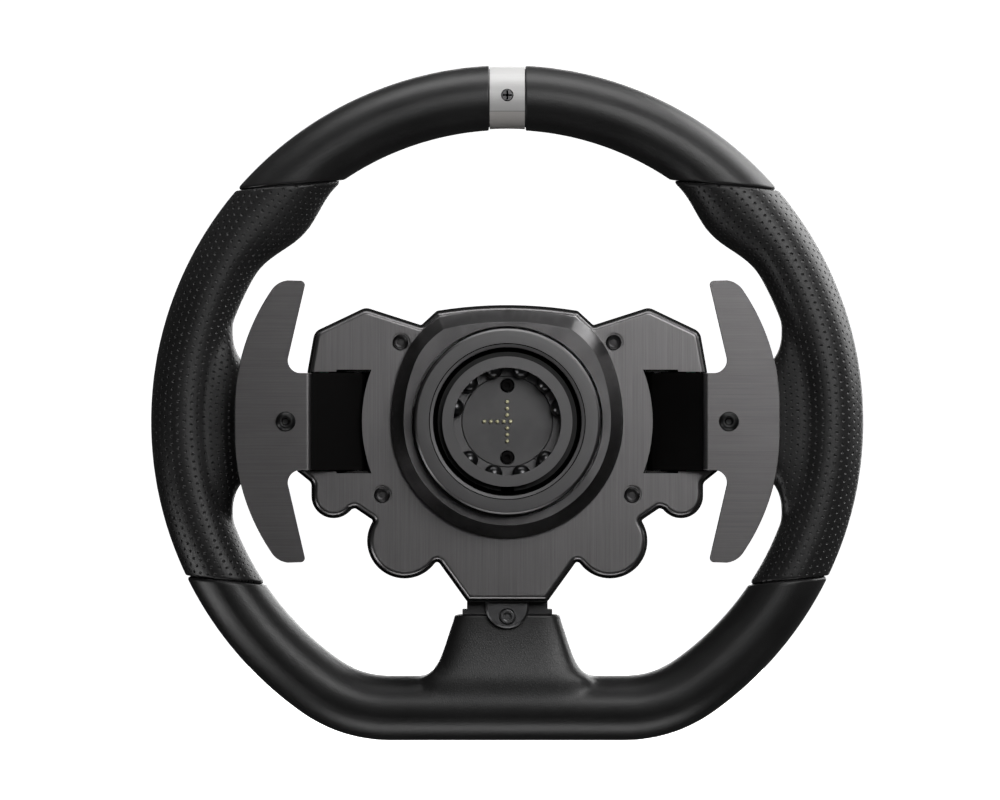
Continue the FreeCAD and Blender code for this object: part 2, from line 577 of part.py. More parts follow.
fascia_bolts = [revolved(f"fascia_bolt_{i}_{side + 1}", [
    ("0", "0.9"), ("0.7", "0.9"), ("0.7", "1.6"), ("1.6", "1.6"), ("1.6", "0"), ("1", "0"), ("1", "-3.4"),
    ("0", "-3.4")],
    at=V(side * x, front_y, z)) for i, (x, z) in enumerate(FASCIA_SCREWS) for side in (1, -1)]
keep("front_fascia_screws", fuse("front_fascia_screws", *fascia_bolts))

# ---------------------------------------------------------------- hub
def dome_shape():
    """The hub cover: a round boss with a squared-off, arched top and a wide bevel towards the rear."""
    r, side_r, knee_z = size("dome_r"), size("dome_side_r"), size("dome_knee_z")
    y, high = size("dome_y"), size("plate_y") - size("dome_y")
    centre_x = r - side_r
    knee_x = centre_x + math.sqrt(side_r**2 - knee_z**2)
    mid_angle = math.asin(knee_z / side_r) / 2
    half_arc = V(centre_x + side_r * math.cos(mid_angle), y, side_r * math.sin(mid_angle))
    # the shoulder runs on from the side's arc without a kink and ends at the top corner
    corner, knee = (size("dome_corner_x"), size("dome_corner_z")), (knee_x, knee_z)
    normal = (math.cos(2 * mid_angle), math.sin(2 * mid_angle))
    gap = (knee[0] - corner[0], knee[1] - corner[1])
    shoulder_r = (gap[0] ** 2 + gap[1] ** 2) / (2 * (gap[0] * normal[0] + gap[1] * normal[1]))
    centre = (knee[0] - shoulder_r * normal[0], knee[1] - shoulder_r * normal[1])
    end_angle = math.atan2(corner[1] - centre[1], corner[0] - centre[0])
    halfway = (2 * mid_angle + end_angle) / 2
    middle = V(centre[0] + shoulder_r * math.cos(halfway), y, centre[1] + shoulder_r * math.sin(halfway))
    right = [Part.Arc(V(corner[0], y, corner[1]), middle, V(knee_x, y, knee_z)),
             Part.Arc(V(knee_x, y, knee_z), half_arc, V(r, y, 0))]
    left = [Part.Arc(V(-r, y, 0), V(-half_arc.x, y, half_arc.z), V(-knee_x, y, knee_z)),
            Part.Arc(V(-knee_x, y, knee_z), V(-middle.x, y, middle.z), V(-corner[0], y, corner[1]))]
    top = Part.Arc(V(-corner[0], y, corner[1]), V(0, y, size("dome_top_z")), V(corner[0], y, corner[1]))
    bottom = Part.Arc(V(r, y, 0), V(0, y, -r), V(-r, y, 0))
    face = Part.Face(Part.Wire([e.toShape() for e in [top, *right, bottom, *left]]))
    # the bevel runs steeply from the full outline to one that is drawn in
    inner = face.makeOffset2D(-size("dome_bevel"), 2).OuterWire
    slope = size("dome_slope")
    face.translate(V(0, slope, 0))
    bevel = Part.makeLoft([inner, face.OuterWire], True, True)
    return bevel.fuse(face.extrude(V(0, high - slope, 0))).removeSplitter()


dome_blank = feature("dome_blank", dome_shape())
keep("hub_dome", cut("hub_dome", dome_blank, cylinder("dome_bore", "dome_bore_r", "40", V(0, 0, 0)),
                     *[cylinder(f"dome_screw_relief_{i}", "plate_hole_r + 0.1", "3",
                                V(x, size("plate_y") - 2, z))
                       for i, (x, z) in enumerate(screw_posts()[::2])]))

hub_shank_holes = [cylinder(f"flange_hole_{i}", "hub_screw_r + 0.15", "60", V(x, 10, z))
                   for i, (x, z) in enumerate(hub_screw_places)]
socket = revolved("socket_blank", [
    ("socket_r", "0"), ("socket_outer_r", "0"), ("socket_outer_r", "flange_y"), ("flange_r", "flange_y"),
    ("flange_r", "flange_y + flange_thick"), ("floor_bore_r", "flange_y + flange_thick"),
    ("floor_bore_r", "contact_end_y + 2.6"), ("cable_bore_r", "contact_end_y + 2.6"),
    ("cable_bore_r", "contact_end_y"), ("floor_bore_r", "contact_end_y"),
    ("floor_bore_r", "socket_floor_y"), ("socket_relief_r", "socket_floor_y"),
    ("socket_relief_r", "lip_length"), ("socket_r", "lip_length")])
# ten pockets at thirty degrees, two places left out so that the wheel goes on one way only
BALL_ANGLES = [15, 45, 75, 135, 165, -165, -135, -75, -45, -15]
pockets, balls = [], []
for i, degrees in enumerate(BALL_ANGLES):
    angle = math.radians(degrees)
    outward = V(math.sin(angle), 0, math.cos(angle))
    turn = FreeCAD.Rotation(V(0, 0, 1), outward)
    pockets.append(cylinder(f"ball_pocket_{i}", "ball_pocket_r", "16",
                            outward * 16 + V(0, size("ball_y"), 0), turn))
    ball = doc.addObject("Part::Sphere", f"ball_{i}")
    ball.setExpression("Radius", bound("ball_r"))
    ball.Placement.Base = outward * size("ball_ring_r") + V(0, size("ball_y"), 0)
    balls.append(ball)
circlip_groove = cut("circlip_groove", cylinder("groove_outer", "socket_outer_r + 2", "1.3",
                                                V(0, size("circlip_y") - 0.1, 0)),
                     cylinder("groove_inner", "socket_outer_r - 0.7", "1.3",
                              V(0, size("circlip_y") - 0.1, 0)))
web_holes = [cylinder(f"web_hole_{i}", "1.2", "6",
                      V(0, size("contact_end_y") - 1, sign * size("contact_screw_z")))
             for i, sign in enumerate((1, -1))]
keep("quick_release_socket",
     cut("quick_release_socket", socket, *pockets, *hub_shank_holes, *web_holes, circlip_groove))
keep("locking_balls", fuse("locking_balls", *balls))
circlip_ring = cut("circlip_ring", cylinder("circlip_outer", "circlip_r", "1.1", V(0, size("circlip_y"), 0)),
                   cylinder("circlip_inner", "socket_outer_r - 0.6", "1.1", V(0, size("circlip_y"), 0)))
circlip_gap = box("circlip_gap", ("-2.5", "2.5"), ("circlip_y - 1", "circlip_y + 2"), ("-30", "0"))
keep("sleeve_circlip", cut("sleeve_circlip", circlip_ring, circlip_gap))
keep("release_sleeve", revolved("release_sleeve", [
    ("sleeve_inner_r", "sleeve_y + 0.6"), ("sleeve_inner_r + 1.8", "sleeve_y"),
    ("sleeve_r - 1.0", "sleeve_y"),
    ("sleeve_r", "sleeve_y + 1.0"), ("sleeve_r", "sleeve_front_y"), ("sleeve_web_r", "sleeve_front_y"),
    ("sleeve_web_r", "sleeve_web_y"), ("sleeve_inner_r", "sleeve_web_y")]))


def coil_spring():
    """The return spring between the sleeve and the socket's flange: half turns that each climb by half
    the pitch in a tilted plane, with tangents that meet."""
    wire_r, coil_r = size("spring_wire_r"), size("spring_coil_r")
    low = size("sleeve_front_y") + wire_r + 0.1
    climb = (size("flange_y") - wire_r - 0.1 - low) / 8
    halves = []
    for i in range(8):
        side = -1 if i % 2 else 1
        start, end = V(-side * coil_r, low + i * climb, 0), V(side * coil_r, low + (i + 1) * climb, 0)
        axis = (end - start).cross(V(0, 0, side)).normalize()
        ring = Part.Face(Part.Wire(Part.makeCircle(wire_r, start, V(0, 0, 1))))
        halves.append(ring.revolve((start + end) / 2, axis, 180))
    return halves[0].fuse(halves[1:])


keep("sleeve_spring", feature("sleeve_spring", coil_spring()))
carrier = cut("carrier_blank", cylinder("carrier_disc", "carrier_r",
                                        "rim_y - arm_thick*0.5 - flange_y - flange_thick",
                                        V(0, size("flange_y") + size("flange_thick"), 0)),
              cylinder("carrier_bore", "floor_bore_r", "40", V(0, 20, 0)))
keep("hub_carrier", cut("hub_carrier", carrier, *[
    cylinder(f"carrier_hole_{i}", "hub_screw_r + 0.15", "40", V(x, 20, z))
    for i, (x, z) in enumerate(hub_screw_places)]))
hub_bolts = []
for i, (x, z) in enumerate(hub_screw_places):
    head = cylinder(f"hub_bolt_head_{i}", "hub_head_r", "4", V(x, size("flange_y") - 4, z))
    shank = cylinder(f"hub_bolt_shank_{i}", "hub_screw_r", "flange_thick + 16.7",
                     V(x, size("flange_y") - 0.1, z))
    recess = cylinder(f"hub_bolt_recess_{i}", "1.5", "2.2", V(x, size("flange_y") - 4.2, z))
    hub_bolts.append(cut(f"hub_bolt_{i}", fuse(f"hub_bolt_blank_{i}", head, shank), recess))
keep("hub_screws", fuse("hub_screws", *hub_bolts))

# ---------------------------------------------------------------- spring contacts
PIN_STEPS = [(0, 3), (0, 2), (0, 1), (0, -1), (0, -2), (0, -3),
             (-3.5, 0), (-2.5, 0), (-1.5, 0), (-0.5, 0), (0.5, 0)]
pin_places = [(a * size("contact_pitch"), b * size("contact_pitch")) for a, b in PIN_STEPS]
contact_blank = revolved("contact_blank", [("0", "contact_y"), ("contact_r - 0.25", "contact_y"),
                                           ("contact_r", "contact_y + 0.25"), ("contact_r", "contact_end_y"),
                                           ("0", "contact_end_y")])
contact_tools = [cylinder(f"pin_hole_{i}", "contact_pin_r + 0.06", "12", V(x, size("contact_y") - 1, z))
                 for i, (x, z) in enumerate(pin_places)]
contact_screws = []
for i, sign in enumerate((1, -1)):
    place = V(0, size("contact_y"), sign * size("contact_screw_z"))
    contact_tools.append(cylinder(f"contact_sink_{i}", "contact_sink_r", "3.2", place - V(0, 0.2, 0)))
    contact_tools.append(cylinder(f"contact_bore_{i}", "1.3", "12", place))
    head = cylinder(f"contact_head_{i}", "contact_sink_r - 0.35", "2", place + V(0, 0.9, 0))
    shank = cylinder(f"contact_shank_{i}", "1.2", "8", place + V(0, 2.8, 0))
    recess = cylinder(f"contact_recess_{i}", "1.25", "1.4", place + V(0, 0.5, 0))
    contact_screws.append(cut(f"contact_screw_{i}", fuse(f"contact_screw_blank_{i}", head, shank), recess))
keep("contact_block", cut("contact_block", contact_blank, *contact_tools))
keep("contact_block_screws", fuse("contact_block_screws", *contact_screws))
pins = []
for i, (x, z) in enumerate(pin_places):
    shaft = cylinder(f"pin_shaft_{i}", "contact_pin_r", "6", V(x, size("contact_y") - 0.6, z))
    tip = doc.addObject("Part::Sphere", f"pin_tip_{i}")
    tip.setExpression("Radius", bound("contact_pin_r"))
    tip.Placement.Base = V(x, size("contact_y") - 0.6, z)
    pins.append(fuse(f"pin_{i}", shaft, tip))
keep("contact_pins", fuse("contact_pins", *pins))

# ---------------------------------------------------------------- lower spoke fittings
neck = box("neck_box", ("-neck_half", "neck_half"), ("33", "shell_front_y - 3.2"),
           ("neck_step_z", "neck_top_z"))
step = box("step_box", ("-collar_half", "collar_half"), ("33", "shell_front_y - 1.2"),
           ("boot_top_z", "neck_step_z"))
arm_pass = box("arm_pass", ("-lower_arm_half", "lower_arm_half"),
               ("rim_y - arm_thick*0.5", "rim_y + arm_thick*0.5"), ("-80", "-60"))
collar_bore = cylinder("collar_bore", "1.7", "30", V(0, 25, size("tab_screw_z")))
keep("lower_spoke_collar", cut("lower_spoke_collar", fuse("collar_blank", neck, step), arm_pass, collar_bore))


def tab_shape():
    """A half-round tab that reaches down from inside the housing over the lower spoke."""
    half, z, y = size("tab_half"), size("tab_z"), size("tab_y")
    arc = Part.Arc(V(half, y, z), V(0, y, z - half), V(-half, y, z)).toShape()
    sides = Part.makePolygon([V(-half, y, z), V(-half, y, -63.5), V(half, y, -63.5), V(half, y, z)])
    face = Part.Face(Part.Wire([arc, *sides.Edges]))
    tab = face.extrude(V(0, size("tab_thick"), 0))
    edges = [e for e in face_in(tab, y).Edges if e.BoundBox.ZMin < z - 0.1 or e.BoundBox.XLength < 0.1]
    sink = Part.makeCylinder(size("tab_screw_r") + 0.1, 2.2, V(0, y - 0.4, size("tab_screw_z")), V(0, 1, 0))
    return tab.makeChamfer(0.8, edges).cut(sink)


tab_blank = feature("tab_blank", tab_shape())
tab_bore = cylinder("tab_bore", "1.7", "20", V(0, 25, size("tab_screw_z")))
keep("lower_spoke_tab", cut("lower_spoke_tab", tab_blank, tab_bore))
tab_head = cylinder("tab_screw_head", "tab_screw_r", "1.8", V(0, size("tab_y") - 0.1, size("tab_screw_z")))
tab_shank = cylinder("tab_screw_shank", "1.6", "rim_y + arm_thick*0.5 - tab_y - 1.7",
                     V(0, size("tab_y") + 1.7, size("tab_screw_z")))
tab_recess = cylinder("tab_screw_recess", "1.5", "1.4", V(0, size("tab_y") - 0.3, size("tab_screw_z")))
keep("lower_spoke_screw", cut("lower_spoke_screw", fuse("tab_screw_blank", tab_head, tab_shank), tab_recess))

# ---------------------------------------------------------------- shift paddles
def wing_outline():
    """The right-hand paddle's wing, from the fold outwards."""
    r, offset = size("wing_edge_r"), size("wing_edge_offset")
    outer, tip = size("wing_outer_x"), size("wing_tip_z")
    cx = outer - r

    def rim_point(z):
        return V(cx + math.sqrt(r**2 - (z - offset) ** 2), 0, z)

    half = size("leg_half")
    fold = size("wing_bend_x") + 1.2
    upper = [
        Part.LineSegment(V(fold, 0, half), V(80.7, 0, half)),
        Part.Arc(V(80.7, 0, half), V(84.35, 0, half + 1.5), V(85.75, 0, half + 5.4)),
        Part.LineSegment(V(85.75, 0, half + 5.4), V(79.15, 0, tip - 2.4)),
        Part.Arc(V(79.15, 0, tip - 2.4), V(79.45, 0, tip - 0.8), V(81.1, 0, tip - 0.15)),
        Part.LineSegment(V(81.1, 0, tip - 0.15), V(85.8, 0, tip)),
        Part.Arc(V(85.8, 0, tip), V(88.9, 0, tip - 0.95), rim_point(tip - 3.4)),
        Part.Arc(rim_point(tip - 3.4), rim_point(tip / 2), V(outer, 0, offset)),
    ]
    edges = [e.toShape() for e in upper]
    edges += [e.mirror(V(0, 0, 0), V(0, 0, 1)) for e in edges]
    edges.append(Part.LineSegment(V(outer, 0, offset), V(outer, 0, -offset)).toShape())
    edges.append(Part.LineSegment(V(fold, 0, half), V(fold, 0, -half)).toShape())
    return Part.Face(Part.Wire(Part.__sortEdges__(edges)))


def wing_shape():
    """The wing's flat plate, with the short rolled flange along its fold."""
    face = wing_outline()
    face.translate(V(0, size("wing_y"), 0))
    plate = face.extrude(V(0, size("wing_thick"), 0))
    half, thick, y = size("leg_half"), size("wing_thick"), size("wing_y")
    fold = size("wing_bend_x") + 1.2
    roll = Part.makeCylinder(thick, 2 * half, V(fold, y + thick, -half), V(0, 0, 1))
    quarter = Part.makeBox(thick, thick, 2 * half, V(fold - thick, y, -half))
    screw = Part.makeCylinder(1.7, 10, V(size("paddle_screw_x"), y - 1, 0), V(0, 1, 0))
    return plate.fuse(roll.common(quarter)).removeSplitter().cut(screw)


def lever_shape():
    """The black lever: a pad under the wing, a sloping leg into the housing and a pivot barrel."""
    half, thick = size("leg_half"), size("leg_thick")
    pad_y = size("wing_y") + size("wing_thick")
    px, py = size("pivot_x"), size("pivot_y")
    # the leg's side view in X and Y, pushed along Z
    foot = (size("leg_inner_x") + 1.2, py - 4.3)
    side = [(92.0, pad_y), (92.0, pad_y + thick), (79.6, pad_y + thick), (px + 4.4, py + 0.6), (px, py + 1.0),
            (size("leg_inner_x"), foot[1] + 0.4), (foot[0], foot[1] - 1.0),
            (size("wing_bend_x"), pad_y + 1.2), (size("wing_bend_x") + 2.0, pad_y + 1.2),
            (size("wing_bend_x") + 2.6, pad_y)]
    wire = Part.makePolygon([V(x, y, 0) for x, y in side] + [V(side[0][0], side[0][1], 0)])
    leg = Part.Face(wire).extrude(V(0, 0, 2 * half))
    leg.translate(V(0, 0, -half))
    barrel = Part.makeCylinder(size("barrel_r"), 2 * half, V(px, py, -half), V(0, 0, 1))
    heel = Part.makeBox(6.4, 2.4, 16, V(px - 8.0, py + 0.6, -8))
    solid = leg.fuse([barrel, heel]).removeSplitter()
    pin = Part.makeCylinder(size("pivot_r") + 0.05, 60, V(px, py, -30), V(0, 0, 1))
    screw = Part.makeCylinder(1.6, 20, V(size("paddle_screw_x"), 5, 0), V(0, 1, 0))
    return solid.cut(pin).cut(screw)


def bracket_shape():
    """The right-hand paddle's bracket: a base behind the lever with an ear at each end of the pin."""
    px, py = size("pivot_x"), size("pivot_y")
    ear_low, ear_high = size("leg_half") + 0.4, size("leg_half") + 3.4
    base = Part.makeBox(20.5, 1.6, 2 * ear_high, V(px - 9.0, 40.3, -ear_high))
    pieces = [base]
    for sign in (1, -1):
        z = ear_low if sign > 0 else -ear_high
        pieces.append(Part.makeBox(9.0, 40.6 - shell_y, ear_high - ear_low, V(px - 4.5, shell_y, z)))
    bracket = pieces[0].fuse(pieces[1:]).removeSplitter()
    bracket = bracket.cut(Part.makeCylinder(size("pivot_r"), 60, V(px, py, -30), V(0, 0, 1)))
    bracket = bracket.cut(Part.makeCylinder(size("carrier_r") + 0.4, 60, V(0, 0, 0), V(0, 1, 0)))
    return bracket.cut(Part.makeBox(200, 10, 200, V(-100, size("rim_y") - size("arm_thick") / 2, -100)))


def magnet_shape():
    px = size("pivot_x")
    return Part.makeCylinder(2.5, 5.4, V(px - 5.6, 36.1, 0), V(0, 1, 0))


wing, lever, bracket, magnet = wing_shape(), lever_shape(), bracket_shape(), magnet_shape()
bracket = bracket.cut(Part.makeCylinder(2.5, 10, V(size("pivot_x") - 5.6, 36.1, 0), V(0, 1, 0)))
pin = Part.makeCylinder(size("pivot_r"), 2 * size("leg_half") + 6.4,
                        V(size("pivot_x"), size("pivot_y"), -size("leg_half") - 3.2), V(0, 0, 1))
for side, turn_over in (("right", False), ("left", True)):
    flip = mirrored if turn_over else (lambda shape: shape)
    keep(f"{side}_paddle_wing", feature(f"{side}_paddle_wing", flip(wing)))
    keep(f"{side}_paddle_lever", feature(f"{side}_paddle_lever", flip(lever)))
    x = size("paddle_screw_x") * (-1 if turn_over else 1)
    bolt = revolved(f"{side}_paddle_screw", [
        ("0", "-0.4"), ("1.4", "-1.6"), ("paddle_screw_r - 1.5", "-1.9"), ("paddle_screw_r - 0.3", "-1.0"),
        ("paddle_screw_r", "-0.3"), ("paddle_screw_r", "0"), ("1.6", "0"), ("1.6", "4.4"), ("0", "4.4")],
        at=V(x, size("wing_y"), 0))
    keep(f"{side}_paddle_screw", bolt)
keep("paddle_brackets", feature("paddle_brackets", Part.makeCompound([bracket, mirrored(bracket)])))
keep("paddle_pivot_pins", feature("paddle_pivot_pins", Part.makeCompound([pin, mirrored(pin)])))
keep("paddle_magnets", feature("paddle_magnets", Part.makeCompound([magnet, mirrored(magnet)])))

# ---------------------------------------------------------------- circuit board and controls
board_outline = outline_at("board_outline", size("board_inset"), size("board_y"))
board_blank = extruded("board_blank", board_outline, "board_thick")
board_holes = [cylinder(f"board_hole_{i}", "post_r", "6", V(x, size("board_y") - 2, z))
               for i, (x, z) in enumerate(screw_posts())]
neck_relief = box("neck_relief", ("-neck_half - 0.6", "neck_half + 0.6"), ("40", "53"),
                  ("-90", "neck_top_z + 0.6"))
keep("main_board", cut("main_board", board_blank, *board_holes, neck_relief))

board_top = size("board_y") + size("board_thick")
switches = []


def button(label, x, z, radius):
    """A crowned push button with a retaining flange, and the tact switch under it."""
    made = revolved(label, [
        ("0", "50.5"), (f"{radius} + button_flange", "50.5"), (f"{radius} + button_flange", "51.8"),
        (radius, "51.8"), (radius, "button_top_y - 0.7"), (f"{radius} - 0.8", "button_top_y"),
        (f"{radius} - 2.0", "button_top_y - 0.3"), ("0", "button_top_y - 0.6")], at=V(x, 0, z))
    keep(label, made)
    switches.append(Part.makeCylinder(3.0, 0.7, V(x, board_top, z), V(0, 1, 0)))


for side, sign in (("right", 1), ("left", -1)):
    for place, x, z in BUTTON_PLACES:
        button(f"{side}_{place}_button", sign * x, z, "button_r")
    button(f"{side}_lobe_button", sign * size("lobe_x"), size("lobe_z"), "small_button_r")
keep("button_switches", feature("button_switches", Part.makeCompound(switches)))

pivot_y = size("stick_pivot_y")


def stick_shapes(x, z):
    """A thumb stick, its gimbal ring and the cup that holds them, on the axis at (x, z)."""
    middle = V(x, pivot_y, z)
    hollow = Part.makeSphere(size("stick_dome_r") - 1.3, middle)
    dome = Part.makeSphere(size("stick_dome_r"), middle).cut(hollow)
    dome = dome.common(Part.makeBox(30, 30, 30, V(x - 15, pivot_y + 2.3, z - 15)))
    shaft = Part.makeCylinder(2.0, 10.0, middle + V(0, -1.2, 0), V(0, 1, 0))
    cap = Part.makeCylinder(size("stick_cap_r"), 2.6, middle + V(0, 8.2, 0), V(0, 1, 0))
    cap = cap.makeFillet(0.9, [e for e in cap.Edges if e.Curve.TypeId == "Part::GeomCircle"])
    cap = cap.cut(Part.makeSphere(14.0, middle + V(0, 23.9, 0)))
    trunnion = Part.makeCylinder(0.6, 8.0, middle - V(0, 0, 4.0), V(0, 0, 1))
    stick = shaft.fuse([dome, cap, trunnion]).removeSplitter()
    ring = Part.makeCylinder(4.4, 2.2, middle - V(0, 1.1, 0), V(0, 1, 0)).cut(
        Part.makeCylinder(2.9, 2.2, middle - V(0, 1.1, 0), V(0, 1, 0)))
    ring = ring.cut(Part.makeCylinder(0.68, 12, middle - V(0, 0, 6), V(0, 0, 1)))
    axle = Part.makeCylinder(0.7, 15.6, middle - V(7.8, 0, 0), V(1, 0, 0)).cut(
        Part.makeCylinder(3.6, 4, middle - V(0, 2, 0), V(0, 1, 0)))
    ring = ring.fuse(axle).removeSplitter()
    cup = Part.makeCylinder(9.6, 51.6 - board_top, V(x, board_top, z), V(0, 1, 0)).cut(
        Part.makeCylinder(6.6, 10, V(x, board_top + 0.4, z), V(0, 1, 0)))
    cup = cup.cut(Part.makeCylinder(0.78, 16.0, middle - V(8.0, 0, 0), V(1, 0, 0)))
    cup = cup.cut(Part.makeCylinder(8.3, 4.0, V(x, 51.1, z), V(0, 1, 0)))
    return stick, ring, cup


cups = []
for side, sign in (("right", 1), ("left", -1)):
    stick, ring, cup = stick_shapes(sign * size("big_lobe_x"), size("big_lobe_z"))
    keep(f"{side}_thumb_stick", feature(f"{side}_thumb_stick", stick))
    keep(f"{side}_stick_gimbal", feature(f"{side}_stick_gimbal", ring))
    cups.append(cup)
keep("stick_cups", feature("stick_cups", Part.makeCompound(cups)))

# ---------------------------------------------------------------- check and export
doc.recompute()
problems = [o.Name for o in doc.Objects if "Invalid" in o.State or "Error" in o.State]
if problems:
    raise SystemExit(f"these objects failed: {problems}")
os.makedirs("parts", exist_ok=True)
for label, thing in PARTS.items():
    shape = thing.Shape
    if shape.isNull() or not shape.isValid() or not shape.Solids:
        raise SystemExit(f"{label} has no valid solid")
    shape.exportStep(f"parts/{label}.step")
print(len(PARTS), "sub-parts")
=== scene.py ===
"""Look of a sim-racing wheel: padded leather over the rim's foam, turned and brushed metal round the quick
release, and a procedural finish on every piece. Lengths in the functions are millimetres."""

import json
import math

import bmesh
import bpy
import numpy as np
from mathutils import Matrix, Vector


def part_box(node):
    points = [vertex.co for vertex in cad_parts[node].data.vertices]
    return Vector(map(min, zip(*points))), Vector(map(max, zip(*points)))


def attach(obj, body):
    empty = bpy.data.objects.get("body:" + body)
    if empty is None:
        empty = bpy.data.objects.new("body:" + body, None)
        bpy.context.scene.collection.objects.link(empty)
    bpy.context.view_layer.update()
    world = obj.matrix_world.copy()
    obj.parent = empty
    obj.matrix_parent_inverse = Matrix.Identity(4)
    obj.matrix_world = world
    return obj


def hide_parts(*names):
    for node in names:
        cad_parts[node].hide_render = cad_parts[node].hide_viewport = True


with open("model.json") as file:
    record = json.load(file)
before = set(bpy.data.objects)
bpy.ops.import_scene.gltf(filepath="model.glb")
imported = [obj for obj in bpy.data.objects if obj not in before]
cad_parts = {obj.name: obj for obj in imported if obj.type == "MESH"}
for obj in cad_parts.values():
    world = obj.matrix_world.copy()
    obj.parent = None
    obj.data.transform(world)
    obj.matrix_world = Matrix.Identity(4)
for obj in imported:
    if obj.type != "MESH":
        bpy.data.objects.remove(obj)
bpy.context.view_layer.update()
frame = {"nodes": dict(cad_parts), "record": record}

bl_info = {
    "name": "Racing wheel",
    "version": (1, 0, 0),
    "blender": (4, 5, 0),
    "location": "View3D > Sidebar > Wheel",
    "description": "Builds the leather, metalwork, finishes and stage of a sim-racing wheel",
    "category": "Object",
}

MM = 0.001
NODES = frame["nodes"]


def low_high(node):
    """A CAD node's lowest and highest corners in millimetres."""
    low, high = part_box(node)
    return np.array(low) / MM, np.array(high) / MM


def middle(node):
    low, high = low_high(node)
    return (low + high) / 2


# ---------------------------------------------------------------- sizes taken from the frame
RIM_LOW, RIM_HIGH = low_high("lower_leather")
GRIP_HIGH = low_high("right_grip_leather")[1]
WHEEL_R = GRIP_HIGH[0]  # the grip reaches the rim's outer radius on the right
FLAT_Z = RIM_LOW[2]
RIM_Y = (RIM_LOW[1] + RIM_HIGH[1]) / 2
HALF_DEPTH = (RIM_HIGH[1] - RIM_LOW[1]) / 2
HALF_WIDTH = 12.85
TUBE_R = WHEEL_R - HALF_WIDTH
CORNER_OUTER_R = 59.7
CORNER_R = CORNER_OUTER_R - HALF_WIDTH
CORNER_Z = FLAT_Z + CORNER_OUTER_R
CORNER_X = math.sqrt((TUBE_R - CORNER_R) ** 2 - CORNER_Z**2)
ARC_END = math.pi - math.atan2(CORNER_X, -CORNER_Z)  # from straight up to where the corner starts
ARC_LENGTH = TUBE_R * ARC_END
HALF_LENGTH = ARC_LENGTH + CORNER_R * (math.pi - ARC_END) + CORNER_X

BAND_HALF = low_high("top_band_rear")[1][0]
THUMB_DEGREES, THUMB_SPREAD, THUMB_RISE = 47.2, 13, 5.9
ARM_FLARE, ARM_START, ARM_HALF_Z = 16.0, 91.7, 18.0
SEAMS = {  # x, z and slope of each seam's plane on the right-hand side
    "upper": (85.0, 92.7, -math.tan(math.radians(3.6))),
    "lower": (110.0, -62.3, math.tan(math.radians(4.3))),
}


# ---------------------------------------------------------------- the panel's settings
class WheelLeatherSettings(bpy.types.PropertyGroup):
    """Sizes and colours of the leather."""

    colour: bpy.props.FloatVectorProperty(
        name="Leather colour", description="Colour of the hide", subtype="COLOR", size=3, min=0, max=1,
        default=(0.0135, 0.0132, 0.0135))
    roughness: bpy.props.FloatProperty(
        name="Leather roughness", description="How matt the hide's finish is", subtype="FACTOR", min=0, max=1,
        default=0.42)
    voxel: bpy.props.FloatProperty(
        name="Padding detail", description="Size of the cells that the padding is blended with",
        subtype="DISTANCE", unit="LENGTH", min=0.0008, max=0.005, default=0.00125)
    seam_gap: bpy.props.FloatProperty(
        name="Seam gap", description="Width of the gap between two leather panels", subtype="DISTANCE",
        unit="LENGTH", min=0, max=0.002, default=0.0005)
    edge_roll: bpy.props.FloatProperty(
        name="Edge roll", description="Radius of a panel's turned-in edge", subtype="DISTANCE",
        unit="LENGTH", min=0.0002, max=0.003, default=0.001)
    hole_pitch: bpy.props.FloatProperty(
        name="Perforation pitch", description="Distance between perforations", subtype="DISTANCE",
        unit="LENGTH", min=0.001, max=0.01, default=0.003)
    hole_radius: bpy.props.FloatProperty(
        name="Perforation radius", description="Radius of a perforation", subtype="DISTANCE",
        unit="LENGTH", min=0.0001, max=0.002, default=0.00054)


class WheelMetalSettings(bpy.types.PropertyGroup):
    """Colours of the metalwork."""

    plate: bpy.props.FloatVectorProperty(
        name="Rear plate", description="Colour of the anodised rear plate", subtype="COLOR", size=3, min=0,
        max=1, default=(0.19, 0.185, 0.187))
    wing: bpy.props.FloatVectorProperty(
        name="Paddles", description="Colour of the anodised paddle wings", subtype="COLOR", size=3, min=0,
        max=1, default=(0.16, 0.155, 0.157))
    dome: bpy.props.FloatVectorProperty(
        name="Hub cover", description="Colour of the hub cover", subtype="COLOR", size=3, min=0, max=1,
        default=(0.13, 0.127, 0.129))
    band: bpy.props.FloatVectorProperty(
        name="Top band", description="Colour of the metal band at twelve o'clock", subtype="COLOR", size=3,
        min=0, max=1, default=(0.62, 0.615, 0.61))


class WheelStageSettings(bpy.types.PropertyGroup):
    """The camera and the light."""

    distance: bpy.props.FloatProperty(
        name="Camera distance", description="From the rim to the camera", subtype="DISTANCE", unit="LENGTH",
        min=1, max=20, default=6)
    across: bpy.props.FloatProperty(
        name="Width in view", description="Width of what the camera sees at the rim", subtype="DISTANCE",
        unit="LENGTH", min=0.1, max=5, default=0.3927)
    light: bpy.props.FloatProperty(
        name="Light", description="Strength of all the lamps together", min=0, max=10, default=1)


